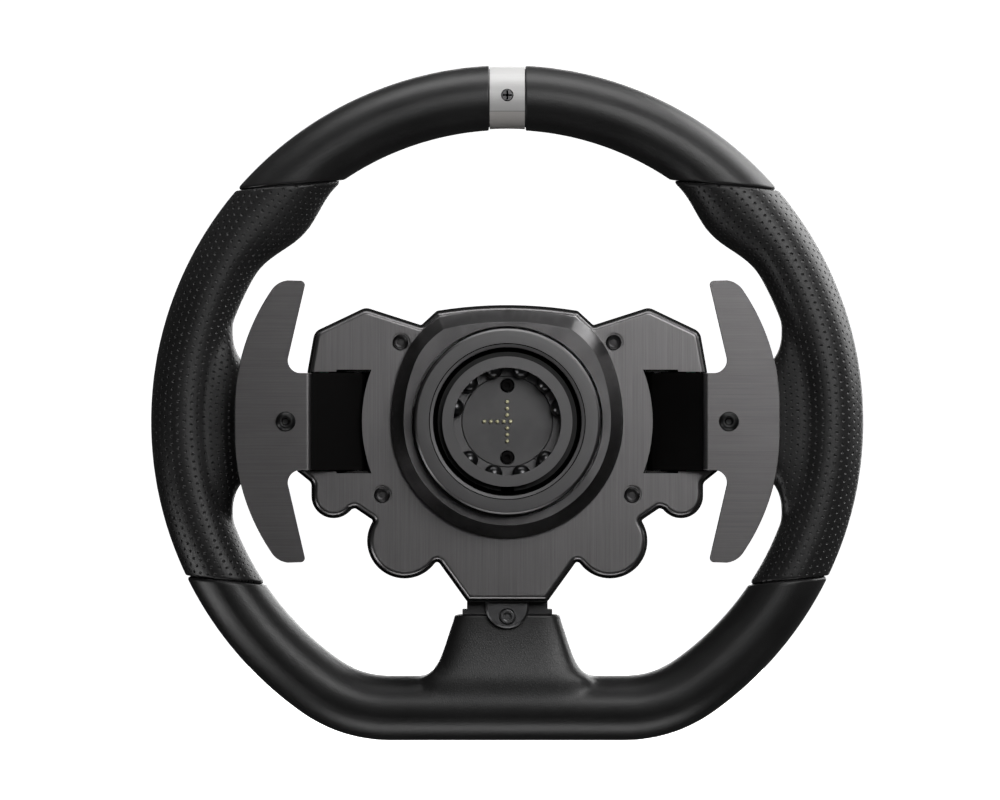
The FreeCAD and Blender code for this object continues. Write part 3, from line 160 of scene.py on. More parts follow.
# ---------------------------------------------------------------- shader expressions
class Signal:
    """A shader socket that takes part in arithmetic: each operator adds a Math node."""

    def __init__(self, net, socket):
        self.net = net
        self.socket = socket

    def maths(self, operation, *others, clamp=False):
        values = dict(enumerate((self, *others)))
        return self.net.node("ShaderNodeMath", {"operation": operation, "use_clamp": clamp}, values)

    def __add__(self, other):
        return self.maths("ADD", other)

    __radd__ = __add__

    def __mul__(self, other):
        return self.maths("MULTIPLY", other)

    __rmul__ = __mul__

    def __sub__(self, other):
        return self.maths("SUBTRACT", other)

    def __rsub__(self, other):
        return self.net.node("ShaderNodeMath", {"operation": "SUBTRACT"}, {0: other, 1: self})

    def __truediv__(self, other):
        return self.maths("DIVIDE", other)

    def __rtruediv__(self, other):
        return self.net.node("ShaderNodeMath", {"operation": "DIVIDE"}, {0: other, 1: self})

    def __neg__(self):
        return self * -1

    def __abs__(self):
        return self.maths("ABSOLUTE")

    def less(self, other):
        return self.maths("LESS_THAN", other)

    def more(self, other):
        return self.maths("GREATER_THAN", other)

    def highest(self, other):
        return self.maths("MAXIMUM", other)

    def fraction(self):
        return self.maths("FRACT")

    def whole(self):
        return self.maths("FLOOR")

    def root(self):
        return self.maths("SQRT")

    def clamped(self):
        return self.maths("ADD", 0, clamp=True)

    def rise(self, start, end):
        """0 up to start, 1 from end, with a smooth step between."""
        settings = {"interpolation_type": "SMOOTHSTEP"}
        values = {"Value": self, "From Min": start, "From Max": end}
        return self.net.node("ShaderNodeMapRange", settings, values)


class Net:
    """The node tree of a new material, or of the owner given. node() adds any node; the other methods are
    shorthands for it."""

    def __init__(self, name, owner=None):
        self.owner = owner or bpy.data.materials.new(name)
        self.owner.use_nodes = True
        self.tree = self.owner.node_tree
        self.tree.nodes.clear()

    def node(self, kind, settings=None, inputs=None, output=0):
        """A node of that kind. Settings are set first, then each input is linked or given its value."""
        made = self.tree.nodes.new(kind)
        for name, value in (settings or {}).items():
            if name == "stops":
                self.set_stops(made.color_ramp, value)
            else:
                setattr(made, name, value)
        for key, value in (inputs or {}).items():
            if isinstance(value, Signal):
                self.tree.links.new(value.socket, made.inputs[key])
            else:
                made.inputs[key].default_value = value
        return Signal(self, made.outputs[output]) if made.outputs else None

    @staticmethod
    def set_stops(ramp, stops):
        while len(ramp.elements) < len(stops):
            ramp.elements.new(0.5)
        for element, (place, colour) in zip(ramp.elements, stops):
            element.position = place
            element.color = (*colour, 1)

    def place(self, scale=(1, 1, 1)):
        """Object coordinates in millimetres, stretched by a factor along each axis."""
        where = self.node("ShaderNodeTexCoord", output="Object")
        return self.node("ShaderNodeMapping", {}, {"Vector": where, "Scale": tuple(f / MM for f in scale)})

    def split(self, vector):
        made = self.node("ShaderNodeSeparateXYZ", {}, {0: vector})
        return [Signal(self, made.socket.node.outputs[i]) for i in range(3)]

    def join(self, x, y, z):
        return self.node("ShaderNodeCombineXYZ", {}, {0: x, 1: y, 2: z})

    def noise(self, vector, scale, detail=3, roughness=0.5):
        values = {"Vector": vector, "Scale": scale, "Detail": detail, "Roughness": roughness}
        return self.node("ShaderNodeTexNoise", {"noise_dimensions": "3D"}, values)

    def cells(self, vector, scale, feature="F1"):
        return self.node("ShaderNodeTexVoronoi", {"feature": feature}, {"Vector": vector, "Scale": scale})

    def mix(self, factor, first, second):
        """A colour between two, each a colour or a signal."""
        values = {0: factor, 6: self.opaque(first), 7: self.opaque(second)}
        return self.node("ShaderNodeMix", {"data_type": "RGBA"}, values, output=2)

    @staticmethod
    def opaque(colour):
        return colour if isinstance(colour, Signal) else (*tuple(colour)[:3], 1)

    def bump(self, height, depth, under=None):
        """A normal from a height of 0 to 1 that stands for that many millimetres."""
        values = {"Height": height, "Distance": depth * MM, "Strength": 1.0}
        if under is not None:
            values["Normal"] = under
        return self.node("ShaderNodeBump", {}, values)

    def finish(self, varying, **uniform):
        """The shader: varying sockets may be linked, uniform ones are plain values."""
        plain = {k.replace("_", " ").title().replace("Ior", "IOR"): v for k, v in uniform.items()}
        values = {**plain, **varying}
        for name in ("Base Color", "Emission Color", "Specular Tint"):
            if name in values:
                values[name] = self.opaque(values[name])
        shader = self.node("ShaderNodeBsdfPrincipled", {}, values)
        self.node("ShaderNodeOutputMaterial", {}, {"Surface": shader})
        return self.owner


def shade(colour, factor):
    """A colour made lighter or darker."""
    return tuple(min(1.0, c * factor) for c in tuple(colour)[:3])


# ---------------------------------------------------------------- finishes
def leather_grain(net, where):
    """The hide's pebbles: cells of two sizes with softened edges, over slow creases."""
    pebbles = net.cells(where, 1.15, "DISTANCE_TO_EDGE")
    small = net.cells(where, 2.4, "DISTANCE_TO_EDGE")
    creases = net.noise(where, 0.16, 4, 0.6)
    return (pebbles * 2.2).clamped() * 0.5 + (small * 2.0).clamped() * 0.2 + creases * 0.6


def leather(name, perforated):
    """Dyed hide. Where it is perforated, staggered rows of dimples follow the tube: one coordinate runs
    round the wheel and the other round the tube's section, and straight inwards over the spoke."""
    settings = bpy.context.scene.wheel_leather
    net = Net(name)
    where = net.place()
    grain = leather_grain(net, where)
    patches = net.noise(where, 0.035, 3, 0.55)
    wear = net.noise(where, 0.5, 4, 0.65)
    colour = net.mix(patches.rise(0.3, 0.7), shade(settings.colour, 0.85), shade(settings.colour, 1.2))
    roughness = settings.roughness + (patches - 0.5) * 0.1 + (wear - 0.5) * 0.12
    normal = net.bump(grain, 0.045)
    if perforated:
        dent, painted_hole_shade = perforations(net, where)
        # painted shade: each perforation is darkened to a quarter of the hide's colour, standing for the
        # shade in the hole
        colour = net.mix(painted_hole_shade, colour, shade(settings.colour, 0.25))
        roughness = roughness + painted_hole_shade * 0.2
        normal = net.bump(1 - dent, 0.42, normal)
    varying = {"Base Color": colour, "Roughness": roughness, "Normal": normal}
    return net.finish(varying, specular_ior_level=0.5, sheen_weight=0.03, sheen_roughness=0.4)


def perforations(net, where):
    """Depth and painted shade of each point, from its distance to the nearest place of a staggered grid."""
    settings = bpy.context.scene.wheel_leather
    pitch, hole = settings.hole_pitch / MM, settings.hole_radius / MM
    x, y, z = net.split(where)
    radius = (x * x + z * z).root()
    across = radius - TUBE_R
    turn = net.node("ShaderNodeMath", {"operation": "ARCTAN2"}, {0: abs(x), 1: z})
    edge = 9.0
    depth = abs(y - RIM_Y)
    section = net.node("ShaderNodeMath", {"operation": "ARCTAN2"}, {0: depth, 1: across.highest(-edge)})
    inward = (-across - edge).highest(0)
    along = turn * TUBE_R
    around = section * (HALF_WIDTH + HALF_DEPTH) / 2 + inward
    row = around / (pitch * 0.866)
    shift = (row.whole() * 0.5).fraction()
    u = (along / pitch + shift).fraction() - 0.5
    v = row.fraction() - 0.5
    wobble = net.noise(where, 0.9, 1) - 0.5
    distance = ((u * u + v * v * 0.75).root() + wobble * 0.04) * pitch
    dent = 1 - distance.rise(hole * 0.15, hole * 1.25)
    # painted shade inside each hole, strongest at its middle
    painted_hole_shade = 1 - distance.rise(hole * 0.3, hole * 0.95)
    return dent, painted_hole_shade


def brushed(name, colour, along, roughness, spread, metallic=1.0, fine=9.0, streak=0.16, crease=None):
    """Anodised metal brushed along an axis: noise drawn out along it varies the gloss and the tone. At a
    crease's height it paints a thin line of shade and, on the face below, a warmer and deeper painted shade."""
    net = Net(name)
    stretch = [fine, fine, fine]
    stretch["xyz".index(along)] = 0.05
    where = net.place()
    lines = net.noise(net.place(scale=stretch), 1.0, 2, 0.6)
    broad = net.noise(net.place(scale=[s * 0.22 for s in stretch]), 1.0, 2, 0.5)
    cloud = net.noise(where, 0.03, 3, 0.5)
    tone = (lines - 0.5) * 1.6 + (broad - 0.5) * 0.9 + 0.5
    tint = net.mix(tone.clamped(), shade(colour, 1 - spread), shade(colour, 1 + spread))
    if crease is not None:
        height = net.split(where)[2]
        # painted shade: a thin line along the crease where the band's two faces meet
        line = 1 - abs(height - crease).rise(0.08, 0.22)
        # painted shade, warmer and deeper, on the face below the crease, which turns away from the light
        painted_lower_shade = 1 - height.rise(crease - 0.1, crease + 0.1)
        tint = net.mix(painted_lower_shade * 0.25, tint, (0.5, 0.42, 0.36))
        tint = net.mix(line * 0.5, tint, (0.05, 0.05, 0.05))
    gloss = roughness + (lines - 0.5) * streak + (cloud - 0.5) * 0.08
    varying = {"Base Color": tint, "Roughness": gloss, "Normal": net.bump(lines, 0.012)}
    return net.finish(varying, metallic=metallic, specular_ior_level=0.5)


def turned_finish(name, colour, roughness=0.36, painted_shade_from=0.0, painted_shade_to=0.0, painted_shade_beyond=0.35):
    """Lathe-turned metal: fine rings about the wheel's axis. Between two radii, where Y is beyond a depth, it
    is
    painted black: the shade in the clearance gap round the sleeve and in the sleeve's ring groove."""
    net = Net(name)
    where = net.place()
    x, y, z = net.split(where)
    radius = (x * x + z * z).root()
    lines = net.noise(net.join(radius * 5.0, y * 5.0, 0.0), 1.0, 3, 0.6)
    cloud = net.noise(where, 0.12, 3, 0.55)
    tint = net.mix((lines - 0.5) * 1.5 + 0.5, shade(colour, 0.85), shade(colour, 1.15))
    # painted shade: black in the clearance gap between socket and sleeve and in the sleeve's ring groove
    if painted_shade_to:
        inside = radius.more(painted_shade_from) * radius.less(painted_shade_to) * y.more(painted_shade_beyond)
        tint = net.mix(inside, tint, (0.001, 0.001, 0.001))
    gloss = roughness + (lines - 0.5) * 0.12 + (cloud - 0.5) * 0.1
    varying = {"Base Color": tint, "Roughness": gloss, "Normal": net.bump(lines, 0.006)}
    return net.finish(varying, metallic=1.0, specular_ior_level=0.5)


def moulded(name, colour, roughness, grain=2.2, depth=0.02, metallic=0.0, coat=0.0, gleam=0.5):
    """Moulded plastic, rubber or paint: a fine even texture with slow changes of gloss."""
    net = Net(name)
    where = net.place()
    texture = net.noise(where, grain, 3, 0.6)
    cloud = net.noise(where, 0.07, 3, 0.5)
    tint = net.mix(cloud.rise(0.35, 0.65), shade(colour, 0.88), shade(colour, 1.12))
    gloss = roughness + (cloud - 0.5) * 0.12 + (texture - 0.5) * 0.08
    varying = {"Base Color": tint, "Roughness": gloss, "Normal": net.bump(texture, depth)}
    return net.finish(varying, metallic=metallic, coat_weight=coat, coat_roughness=0.2,
                      specular_ior_level=gleam)


def steel(name, colour, roughness, depth=0.004, painted_shade_beyond=None):
    """Ground or plated metal with faint scratches, painted black as shade where Y is beyond a depth."""
    net = Net(name)
    where = net.place()
    scratches = net.noise(net.place(scale=(6, 0.6, 0.9)), 1.0, 4, 0.7)
    cloud = net.noise(where, 0.3, 3, 0.5)
    tint = net.mix(cloud, shade(colour, 0.85), shade(colour, 1.15))
    if painted_shade_beyond is not None:
        # painted shade: black in recesses past the given depth
        tint = net.mix(net.split(where)[1].more(painted_shade_beyond), tint, (0.001, 0.001, 0.001))
    gloss = roughness + (scratches - 0.5) * 0.12
    varying = {"Base Color": tint, "Roughness": gloss, "Normal": net.bump(scratches, depth)}
    return net.finish(varying, metallic=1.0)


def circuit_finish(name, colour):
    """Solder mask over copper tracks on a square grid, with bare pads where the tracks end."""
    net = Net(name)
    where = net.place()
    x, y, z = net.split(where)
    lane = net.noise(net.join((x * 0.5).whole(), 0.0, (z * 0.1).whole()), 1.0, 0)
    track = 1 - abs((x * 0.5).fraction() - 0.5).rise(0.12, 0.2)
    pads = net.cells(where, 0.16, "F1")
    pad = 1 - pads.rise(0.14, 0.17)
    copper = net.mix(track * lane.rise(0.45, 0.5), colour, shade(colour, 2.0))
    tint = net.mix(pad, copper, (0.6, 0.45, 0.2))
    varying = {"Base Color": tint, "Roughness": 0.35 + pad * 0.1, "Normal": net.bump(track + pad, 0.03)}
    return net.finish(varying, coat_weight=0.3)


def lens_finish(name):
    """A smoked window with a row of shift lights behind it."""
    net = Net(name)
    where = net.place()
    x, y, z = net.split(where)
    centre = middle("shift_light_lens")
    step = 5.5
    u = (x / step).fraction() - 0.5
    v = (z - float(centre[2])) / step
    lamp = (1 - (u * u + v * v).root().rise(0.2, 0.26)) * abs(x).less(27)
    hue = net.node("ShaderNodeValToRGB", {"stops": [
        (0.0, (0.02, 0.25, 0.04)), (0.45, (0.4, 0.28, 0.02)), (0.8, (0.45, 0.02, 0.02))]},
        {"Fac": abs(x) / 28.0})
    tint = net.mix(lamp, (0.012, 0.012, 0.013), hue)
    cloud = net.noise(where, 0.2)
    return net.finish({"Base Color": tint, "Roughness": 0.08 + cloud * 0.1}, coat_weight=0.6)


def make_finishes():
    """Every finish by the name of its slot in the record."""
    metals = bpy.context.scene.wheel_metal
    black = (0.018, 0.018, 0.019)
    made = {
        "smooth_leather": leather("smooth_hide", False),
        "perforated_leather": leather("perforated_hide", True),
        "foam": moulded("moulded_foam", (0.012, 0.012, 0.012), 0.9, 1.2, 0.1),
        "core_metal": moulded("cast_core", (0.3, 0.3, 0.31), 0.5, 0.8, 0.05, 1.0),
        # the band gets a painted shade line at its crease, 121.6 mm up, and painted shade on the face below
        # it
        "band_metal": brushed("brushed_band", metals.band, "x", 0.5, 0.05, 0.1, 6, 0.08, crease=121.6),
        "black_steel": moulded("black_oxide", (0.004, 0.004, 0.0041), 0.4, 3.0, 0.008, 0.0, 0.0, 0.3),
        "bare_steel": steel("bare_steel", (0.5, 0.5, 0.51), 0.28),
        "dark_steel": steel("dark_steel", (0.1, 0.1, 0.102), 0.4),
        "grey_steel": steel("grey_steel", (0.06, 0.059, 0.06), 0.45),
        # painted shade: the band screw's cross recess is black past this depth
        "band_screw": steel("band_screw", (0.12, 0.118, 0.12), 0.42, painted_shade_beyond=RIM_LOW[1] + 0.85),
        "ball_steel": steel("ball_steel", (0.07, 0.07, 0.072), 0.3, 0.002),
        "collar_plastic": moulded("collar_plastic", black, 0.5, 2.5, 0.03),
        "tab_metal": moulded("tab_paint", (0.1, 0.1, 0.102), 0.42, 3.0, 0.012, 0.9),
        "shell_plastic": moulded("shell_plastic", (0.003, 0.003, 0.0031), 0.5, 1.6, 0.03, 0.0, 0.0, 0.2),
        "plate_metal": brushed("brushed_plate", metals.plate, "z", 0.38, 0.22),
        "dome_metal": moulded("dome_paint", metals.dome, 0.4, 4.0, 0.01, 1.0),
        # painted shade: the socket and the sleeve are black in the gap between them and in the sleeve's
        # groove
        "socket_metal": turned_finish("turned_socket", (0.13, 0.128, 0.13), 0.42, 25.15, 40),
        "sleeve_metal": turned_finish("turned_sleeve", (0.125, 0.123, 0.125), 0.42, 20, 30.62,
                                      float(low_high("release_sleeve")[0][1]) + 0.3),
        "carrier_metal": turned_finish("turned_carrier", (0.45, 0.45, 0.46)),
        "contact_plastic": moulded("contact_plastic", (0.1, 0.098, 0.1), 0.5, 3.0, 0.01),
        "contact_gold": moulded("contact_gold", (0.9, 0.85, 0.55), 0.3, 3.0, 0.001, 0.2),
        "circuit_board": circuit_finish("circuit_board", (0.006, 0.05, 0.025)),
        "switch_plastic": moulded("switch_plastic", (0.03, 0.03, 0.032), 0.35),
        "fascia_metal": brushed("brushed_fascia", (0.04, 0.04, 0.042), "x", 0.38, 0.2),
        "badge_plastic": moulded("badge_plastic", black, 0.45, 2.4, 0.012, 0.0, 0.1),
        "lens_plastic": lens_finish("shift_light_lens"),
        "stick_rubber": moulded("stick_rubber", (0.02, 0.02, 0.021), 0.7, 2.6, 0.04),
        "gimbal_plastic": moulded("gimbal_plastic", (0.25, 0.25, 0.26), 0.3),
        "wing_metal": brushed("brushed_wing", metals.wing, "x", 0.36, 0.2),
        "lever_metal": moulded("lever_paint", (0.0015, 0.0012, 0.0012), 0.6, 3.0, 0.02, 0.0, 0.0, 0.1),
        "magnet_metal": steel("magnet_metal", (0.6, 0.6, 0.61), 0.2),
    }
    caps = {"red": (0.42, 0.012, 0.012), "blue": (0.012, 0.06, 0.36), "green": (0.012, 0.2, 0.05),
            "yellow": (0.6, 0.33, 0.012), "black": (0.018, 0.018, 0.019), "white": (0.6, 0.6, 0.58)}
    for colour, value in caps.items():
        made[f"button_{colour}"] = moulded(f"button_{colour}", value, 0.32, 2.0, 0.006, 0.0, 0.2)
    return made


FINISHES = {}


def finish_of(slot):
    if not FINISHES:
        FINISHES.update(make_finishes())
    return FINISHES[slot]


SLOT_OF = {entry["node"]: entry["material_slot"] for entry in frame["record"]["subparts"]}
BODY_OF = {node: body for body, members in frame["record"]["behaviour"]["bodies"].items() for node in members}


# ---------------------------------------------------------------- mesh helpers
def array_of(items, name, width, kind=np.float32):
    """One property of all of a mesh's items as an array with that many columns."""
    values = np.empty(len(items) * width, kind)
    items.foreach_get(name, values)
    return values.reshape(-1, width)


def grid_faces(rows, columns, wrap_rows, wrap_columns):
    """Quads between neighbouring points of a grid, going round where it wraps."""
    index = np.arange(rows * columns).reshape(rows, columns)
    if wrap_rows:
        index = np.vstack([index, index[:1]])
    if wrap_columns:
        index = np.hstack([index, index[:, :1]])
    quads = np.stack([index[:-1, :-1], index[1:, :-1], index[1:, 1:], index[:-1, 1:]], axis=-1)
    return quads.reshape(-1, 4)


def mesh_from(name, points, faces):
    """A mesh from points in millimetres, with its faces turned outwards."""
    mesh = bpy.data.meshes.new(name)
    faces = faces if isinstance(faces, list) else faces.tolist()
    mesh.from_pydata((np.asarray(points).reshape(-1, 3) * MM).tolist(), [], faces)
    work = bmesh.new()
    work.from_mesh(mesh)
    bmesh.ops.remove_doubles(work, verts=work.verts, dist=1e-7)
    bmesh.ops.recalc_face_normals(work, faces=work.faces)
    work.to_mesh(mesh)
    work.free()
    return mesh


def piece(name, mesh, nodes, sharp=35, bevel=0.0, finish=None, flats=True):
    """Makes the object for a mesh, gives it the nodes' finish and body, and hides those nodes. With flats,
    each corner's normal leans towards its largest face, so that flat faces look flat."""
    made = bpy.data.objects.new(name, mesh)
    bpy.context.scene.collection.objects.link(made)
    if bevel:
        edge = made.modifiers.new("edge", "BEVEL")
        edge.width = bevel * MM
        edge.segments = 2
        edge.limit_method = "ANGLE"
        edge.angle_limit = math.radians(40)
        edge.harden_normals = False
    mesh.shade_smooth()
    mesh.set_sharp_from_angle(angle=math.radians(sharp))
    if flats:
        lean = made.modifiers.new("flats", "WEIGHTED_NORMAL")
        lean.keep_sharp = True
    slot = SLOT_OF[nodes[0]]
    mesh.materials.clear()
    mesh.materials.append(finish_of(finish or slot))
    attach(made, BODY_OF[nodes[0]])
    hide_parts(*nodes)
    return made


# ---------------------------------------------------------------- leather
def centre_line(s):
    """The tube's centre line in the XZ plane at arc lengths s from the top, right side positive: a circle
    about the axis, then the corner's arc, then the flat. Gives x, z and the outward normal."""
    side, a = np.sign(s), np.abs(s)
    on_circle = a < ARC_LENGTH
    turn = np.where(on_circle, a / TUBE_R, np.minimum(ARC_END + (a - ARC_LENGTH) / CORNER_R, math.pi))
    radius = np.where(on_circle, TUBE_R, CORNER_R)
    slide = np.maximum(a - ARC_LENGTH - CORNER_R * (math.pi - ARC_END), 0)
    x = np.where(on_circle, 0, CORNER_X - slide) + radius * np.sin(turn)
    z = np.where(on_circle, 0, CORNER_Z) + radius * np.cos(turn)
    return side * x, z, side * np.sin(turn), np.cos(turn)


def thumb_swell(s):
    """How far the tube's inner side stands in at the thumb rests: a raised cosine about an angle."""
    off = (np.degrees(np.abs(s) / TUBE_R) - THUMB_DEGREES) / THUMB_SPREAD
    return THUMB_RISE * np.where(np.abs(off) < 1, np.cos(off * math.pi / 2) ** 2, 0)


def tube_points(count_s=420, count_t=72):
    """The rim's tube: an ellipse carried along the centre line, its inner half widened by the swell."""
    s = np.linspace(-HALF_LENGTH, HALF_LENGTH, count_s, endpoint=False)[:, None]
    t = np.linspace(0, 2 * math.pi, count_t, endpoint=False)[None, :]
    x, z, nx, nz = centre_line(s)
    reach = (HALF_WIDTH + np.where(np.cos(t) < 0, thumb_swell(s), 0)) * np.cos(t)
    y = RIM_Y + HALF_DEPTH * np.sin(t) + 0 * s
    return np.stack([x + nx * reach, y, z + nz * reach], axis=-1)


def superellipse(t, half_a, half_b, power):
    """Points of |a/half_a|^power + |b/half_b|^power = 1 at angles t."""
    c, s = np.cos(t), np.sin(t)
    a = half_a * np.sign(c) * np.abs(c) ** (2 / power)
    b = half_b * np.sign(s) * np.abs(s) ** (2 / power)
    return a, b


def spoke_points(side):
    """The padded arm: a rounded slab along X whose height opens into the grip through a quarter circle,
    and stands a little past it inside the tube."""
    end = ARM_START + ARM_FLARE - 0.05
    x = np.concatenate([np.linspace(80, end, 50), np.linspace(end + 0.05, 127, 20)])[:, None]
    t = np.linspace(0, 2 * math.pi, 64, endpoint=False)[None, :]
    beyond = np.clip(x - ARM_START, 0, ARM_FLARE)
    fillet = ARM_HALF_Z + ARM_FLARE - np.sqrt(ARM_FLARE**2 - beyond**2)
    half_z = np.where(x > end, ARM_HALF_Z + ARM_FLARE + 4.5, fillet)
    half_y = 8.4 + 2.6 * np.clip((x - 94) / 20, 0, 1) ** 1.5
    z, y = superellipse(t, half_z, half_y, 4)
    return np.stack([side * (x + 0 * t), RIM_Y + y, z], axis=-1)


def boot_points():
    """The foot of the lower spoke: a rounded slab along Z that widens slowly, then all at once into the
    flat of the rim."""
    z = np.linspace(-71, -114, 60)[:, None]
    t = np.linspace(0, 2 * math.pi, 96, endpoint=False)[None, :]
    drop = np.clip(-75.6 - z, 0, 24.9)
    half_x = 20.3 + 0.33 * drop + 5.0 * (drop / 24.9) ** 9
    half_y = 10.7 + 3.0 * (drop / 24.9) ** 2
    x, y = superellipse(t, half_x, half_y, 7)
    return np.stack([x, RIM_Y + y, z + 0 * t], axis=-1)


def padding_mesh():
    """The padded rim's parts in one mesh: tube, arms and foot overlap there, to be rebuilt on fine cells
    as one surface and relaxed, so that they run into each other as leather pulled over foam does."""
    joined = bmesh.new()
    for points, wrap in ((tube_points(), True), (spoke_points(1), False), (spoke_points(-1), False),
                         (boot_points(), False)):
        rows, columns = points.shape[:2]
        faces = grid_faces(rows, columns, wrap, True).tolist()
        if not wrap:
            faces += [list(range(columns)), list(range((rows - 1) * columns, rows * columns))]
        mesh = mesh_from("padding_part", points, faces)
        joined.from_mesh(mesh)
        bpy.data.meshes.remove(mesh)
    mesh = bpy.data.meshes.new("padding")
    joined.to_mesh(mesh)
    joined.free()
    return mesh


def relaxed(mesh, voxel, rounds):
    """The mesh rebuilt on cells of that size and smoothed that many times."""
    work = bpy.data.objects.new("padding_work", mesh)
    bpy.context.scene.collection.objects.link(work)
    cells = work.modifiers.new("cells", "REMESH")
    cells.mode = "VOXEL"
    cells.voxel_size = voxel
    smooth = work.modifiers.new("relax", "SMOOTH")
    smooth.factor = 0.5
    smooth.iterations = rounds
    graph = bpy.context.evaluated_depsgraph_get()
    made = bpy.data.meshes.new_from_object(work.evaluated_get(graph))
    bpy.data.objects.remove(work)
    return made


class Cut:
    """A plane that trims a panel, with the side of it that is kept and the part of the panel it meets."""

    def __init__(self, point, outward, roll, meets=None):
        self.roll = roll
        self.point = np.array(point, float)
        self.outward = np.array(outward, float) / np.linalg.norm(outward)
        self.meets = meets or (lambda x, y, z: np.isfinite(x))

    def bisect(self, work, inset, clear):
        """Cuts along the plane, moved inwards by inset, and drops what is outside it if clear."""
        middles = np.array([face.calc_center_median() for face in work.faces]) / MM
        geometry = set()
        for number in np.flatnonzero(self.meets(*middles.T)).tolist():
            face = work.faces[number]
            geometry.update((face, *face.edges, *face.verts))
        place = (self.point - self.outward * inset) * MM
        bmesh.ops.bisect_plane(work, geom=list(geometry), plane_co=Vector(place), dist=1e-7,
                               plane_no=Vector(self.outward), clear_outer=clear)


def panel(base, name, node, cuts):
    """One leather panel: the padded skin inside every cut, its edges rolled in with the cut's radius as a
    quarter circle, and given a thickness."""
    work = bmesh.new()
    work.from_mesh(base)
    for cut in cuts:
        work.faces.ensure_lookup_table()
        cut.bisect(work, 0, True)
    for cut in cuts:
        for inset in (0.12, 0.35, 0.65, 1.0):
            work.faces.ensure_lookup_table()
            cut.bisect(work, inset * cut.roll, False)
    mesh = bpy.data.meshes.new(name)
    work.to_mesh(mesh)
    work.free()
    co = array_of(mesh.vertices, "co", 3) / MM
    normals = array_of(mesh.vertex_normals, "vector", 3)
    sink = np.zeros(len(co))
    for cut in cuts:
        inside = (cut.point - co) @ cut.outward
        near = cut.meets(*co.T) & (inside < cut.roll)
        fall = cut.roll - np.sqrt(np.maximum(cut.roll**2 - (cut.roll - np.clip(inside, 0, cut.roll)) ** 2, 0))
        sink = np.where(near, np.maximum(sink, fall), sink)
    mesh.vertices.foreach_set("co", ((co - normals * sink[:, None]) * MM).ravel())
    made = piece(name, mesh, [node], sharp=60, flats=False)
    wall = made.modifiers.new("thickness", "SOLIDIFY")
    wall.thickness = 0.9 * MM
    wall.offset = -1
    return made


def seam_cut(which, side, above, gap, roll):
    """The seam's plane on one side, for the panel above or below it."""
    x, z, slope = SEAMS[which]
    outward = np.array([-slope * side, 0, 1.0]) * (-1 if above else 1)
    outward /= np.linalg.norm(outward)
    point = np.array([x * side, RIM_Y, z]) - outward * gap / 2
    return Cut(point, outward, roll, lambda px, py, pz: px * side > 0)


class WheelLeather(bpy.types.Operator):
    """Wraps the rim in padded leather: five panels with rolled edges at their seams"""

    bl_idname = "wheel.leather"
    bl_label = "Leather"

    def execute(self, context):
        settings = context.scene.wheel_leather
        gap, roll = settings.seam_gap / MM, settings.edge_roll / MM
        base = relaxed(padding_mesh(), settings.voxel, 14)
        band = BAND_HALF + 0.25
        for side, word in ((1, "right"), (-1, "left")):
            top = Cut((side * band, 0, 0), (-side, 0, 0), roll * 0.5)
            panel(base, f"{word}_upper_cover", f"upper_{word}_leather",
                  [top, seam_cut("upper", side, True, gap, roll)])
            half = Cut((side * 30, 0, 0), (-side, 0, 0), roll)
            arm = Cut((side * 85.4, 0, 0), (-side, 0, 0), roll, lambda x, y, z: abs(z) < 24)
            panel(base, f"{word}_grip_cover", f"{word}_grip_leather",
                  [half, seam_cut("upper", side, False, gap, roll), seam_cut("lower", side, True, gap, roll),
                   arm])
        foot = Cut((0, 0, -75.7), (0, 0, 1), roll, lambda x, y, z: abs(x) < 40)
        panel(base, "lower_cover", "lower_leather",
              [seam_cut("lower", 1, False, gap, roll), seam_cut("lower", -1, False, gap, roll), foot])
        return {"FINISHED"}


# ---------------------------------------------------------------- turned and rounded pieces
def outline(shape, radius, turn):
    """A recess's radius by angle: a circle, a hexagon whose flats stand at that radius, or a cross whose
    bars reach that radius and are a fifth as wide as they are long."""
    if shape == "hexagon":
        return radius / np.cos(np.mod(turn, math.pi / 3) - math.pi / 6)
    if shape == "cross":
        across = np.abs(np.mod(turn + math.pi / 4, math.pi / 2) - math.pi / 4)
        return np.minimum(radius, 0.2 * radius / np.maximum(np.sin(across), 1e-6))
    return radius + 0 * turn


def turned(rows, at, facing=1, count=96):
    """A surface of revolution about the Y axis through (x, y, z). Each row gives a radius, a height along
    Y and, for a recess, its shape. The first and last rows lie on the axis. Gives points and faces."""
    turn = np.linspace(0, 2 * math.pi, count, endpoint=False)
    rings = []
    for row in rows:
        radius = outline(row[2] if len(row) > 2 else "circle", row[0], turn)
        rings.append(np.stack([radius * np.sin(turn), facing * row[1] + 0 * turn, radius * np.cos(turn)], -1))
    return np.array(rings) + np.array(at), grid_faces(len(rows), count, False, True)


def rounded(corners, radius, steps=5):
    """A profile's rows with each corner replaced by an arc of that radius, as a curve that leaves and
    meets the two sides at equal distances from the corner."""
    rows = [corners[0]]
    for before, corner, after in zip(corners, corners[1:], corners[2:]):
        a, b, c = (np.array(p[:2], float) for p in (before, corner, after))
        reach = min(radius, np.linalg.norm(a - b) * 0.45, np.linalg.norm(c - b) * 0.45)
        start, end = b + (a - b) / np.linalg.norm(a - b) * reach, b + (c - b) / np.linalg.norm(c - b) * reach
        k = np.linspace(0, 1, steps)[:, None]
        rows += [tuple(p) for p in (1 - k) ** 2 * start + 2 * k * (1 - k) * b + k**2 * end]
    return rows + [corners[-1]]


def joined(shapes):
    """Several sets of points and faces as one."""
    points, faces, start = [], [], 0
    for p, f in shapes:
        flat = p.reshape(-1, 3)
        points.append(flat)
        faces.append(f + start)
        start += len(flat)
    return np.concatenate(points), np.concatenate(faces)


def turned_piece(name, node, shapes, sharp=40, finish=None):
    points, faces = joined(shapes)
    return piece(name, mesh_from(name, points, faces), [node], sharp=sharp, finish=finish)


